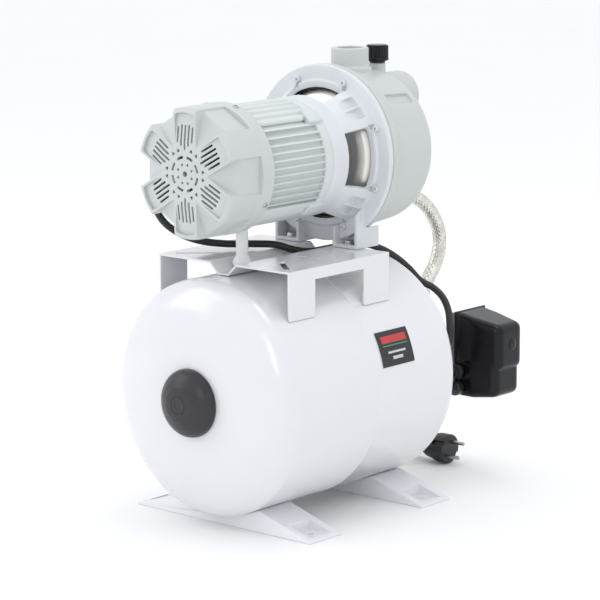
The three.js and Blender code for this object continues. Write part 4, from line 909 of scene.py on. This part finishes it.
def make_label():
    across, up = 60, 34
    inner, outer = TANK_R + 0.3, TANK_R + 0.3 + LABEL_T
    verts, faces, fields = [], [], []
    for r in (inner, outer):
        for j in range(up + 1):
            a = math.radians(LABEL_A0 + (LABEL_A1 - LABEL_A0) * j / up)
            for i in range(across + 1):
                y = LABEL_Y0 + (LABEL_Y1 - LABEL_Y0) * i / across
                verts.append((r * math.cos(a), y, TANK_Z + r * math.sin(a)))
    row, sheet = across + 1, (across + 1) * (up + 1)
    for j in range(up):
        for i in range(across):
            a, b, c, d = j * row + i, j * row + i + 1, (j + 1) * row + i + 1, (j + 1) * row + i
            faces += [(a, b, c, d), (a + sheet, d + sheet, c + sheet, b + sheet)]
            fields += [0, label_field(i / across, j / up)]
    edge = [i for i in range(row)] + [j * row + across for j in range(1, up + 1)]
    edge += [up * row + i for i in range(across - 1, -1, -1)] + [j * row for j in range(up - 1, 0, -1)]
    for a, b in zip(edge, edge[1:] + edge[:1]):
        faces.append((a, a + sheet, b + sheet, b))
        fields.append(0)
    made = solid(verts, faces)
    for face, field in zip(made.data.polygons, fields):
        face.material_index = field
    prints = [LOOKS["label_film"], surface("label_red", (0.50, 0.035, 0.035), 0.3, mottle=0.08),
              surface("label_green", (0.03, 0.30, 0.11), 0.3, mottle=0.08),
              surface("label_pale", (0.55, 0.55, 0.56), 0.35, mottle=0.04)]
    kept = [face.material_index for face in made.data.polygons]
    show(made, "rating_label_printed", "pump_set", "label_film", ["rating_label"])
    for look in prints[1:]:
        made.data.materials.append(look)
    made.data.polygons.foreach_set("material_index", kept)


def label_field(u, v):
    """Which print covers a place on the label: 0 film, 1 red, 2 green, 3 pale."""
    if 0.10 < u < 0.90 and 0.62 < v < 0.84:
        return 1
    if 0.10 < u < 0.90 and 0.53 < v < 0.57:
        return 2
    if 0.22 < u < 0.78 and 0.33 < v < 0.41:
        return 3
    if 0.34 < u < 0.66 and 0.16 < v < 0.24:
        return 3
    return 0


# ---------- support post ----------
def make_post():
    """The moulded post under the motor, with a flared foot and a cupped head."""
    line = rounded([(0, 293.4), (5.6, 293.4, 0.5), (10.8, 299.5, 1.5), (10.8, 303.5, 1.5), (7, 310, 4),
                    (7, 348), (0, 348)], steps=5)
    look = surface("post_plastic", (0.78, 0.80, 0.80), 0.45, mottle=0.012, grain=0.08)
    post = turned(line, 64, "z", y=-80)
    cut(post, rod(FIN_TIP_R + 1.2, -130, -40, 144, z=SHAFT_Z))
    show(post, "support_post_moulded", "pump_set", "grey_paint", ["motor_support_post"], look=look)


# ---------- glands ----------
def make_glands():
    """Rubber glands that taper along -Y, with rings sunk in the taper so that they bend evenly."""
    for name, x, y, z, length in (("motor_lead_gland", LEAD_EXIT_X, -84.3, LEAD_EXIT_Z, 15),
                                  ("switch_gland_motor", GLAND_X, 224.7, UPPER_GLAND_Z, 13),
                                  ("switch_gland_mains", GLAND_X, 224.7, LOWER_GLAND_Z, 24)):
        k = length / 19
        grooves = []
        for g in range(3):
            s = 9.5 + g * 3
            r = 7.6 - (s - 8) / 11
            grooves += [(r, s), (r - 0.9, s + 0.35), (r - 0.9, s + 1.1), (r - 0.06, s + 1.45)]
        profile = [(5.1, 0), (9, 0, 0.6), (9, 7, 0.8), (7.6, 8, 0.5), *grooves, (6.6, 19, 0.7), (5.1, 19)]
        line = rounded([(p[0], -p[1] * k, *p[2:]) for p in profile], loop=True, steps=3)
        show(turned(line, 64, x=x, y=y, z=z), name + "_tapered", "pump_set", "black_rubber", [name])


# ---------- everything else keeps its CAD shape, with softened edges ----------
EDGE_WIDTH = {"pump_saddle": 1.2, "front_foot": 1.2, "rear_foot": 1.2}


def finish_cad_nodes():
    for name, node in frame["nodes"].items():
        node.data.materials.clear()
        node.data.materials.append(LOOKS[SLOT_OF[name]])
        if node.hide_render:
            continue
        if "custom_normal" in node.data.attributes:
            node.data.attributes.remove(node.data.attributes["custom_normal"])
        node.data.shade_smooth()
        weld = node.modifiers.new("weld", "WELD")
        weld.merge_threshold = 0.00001
        bevel = node.modifiers.new("edges", "BEVEL")
        bevel.width = EDGE_WIDTH.get(name, 0.5) * MM
        bevel.segments = 2
        bevel.limit_method = "ANGLE"
        bevel.angle_limit = math.radians(34)
        bevel.harden_normals = True


make_camera()
make_studio()
make_cords()
make_tank()
make_tank_cap()
make_fan_cover()
make_housing()
make_adapter()
make_seal_plate()
make_casing()
make_priming_plug()
make_switch_cover()
make_label()
make_glands()
make_post()
finish_cad_nodes()
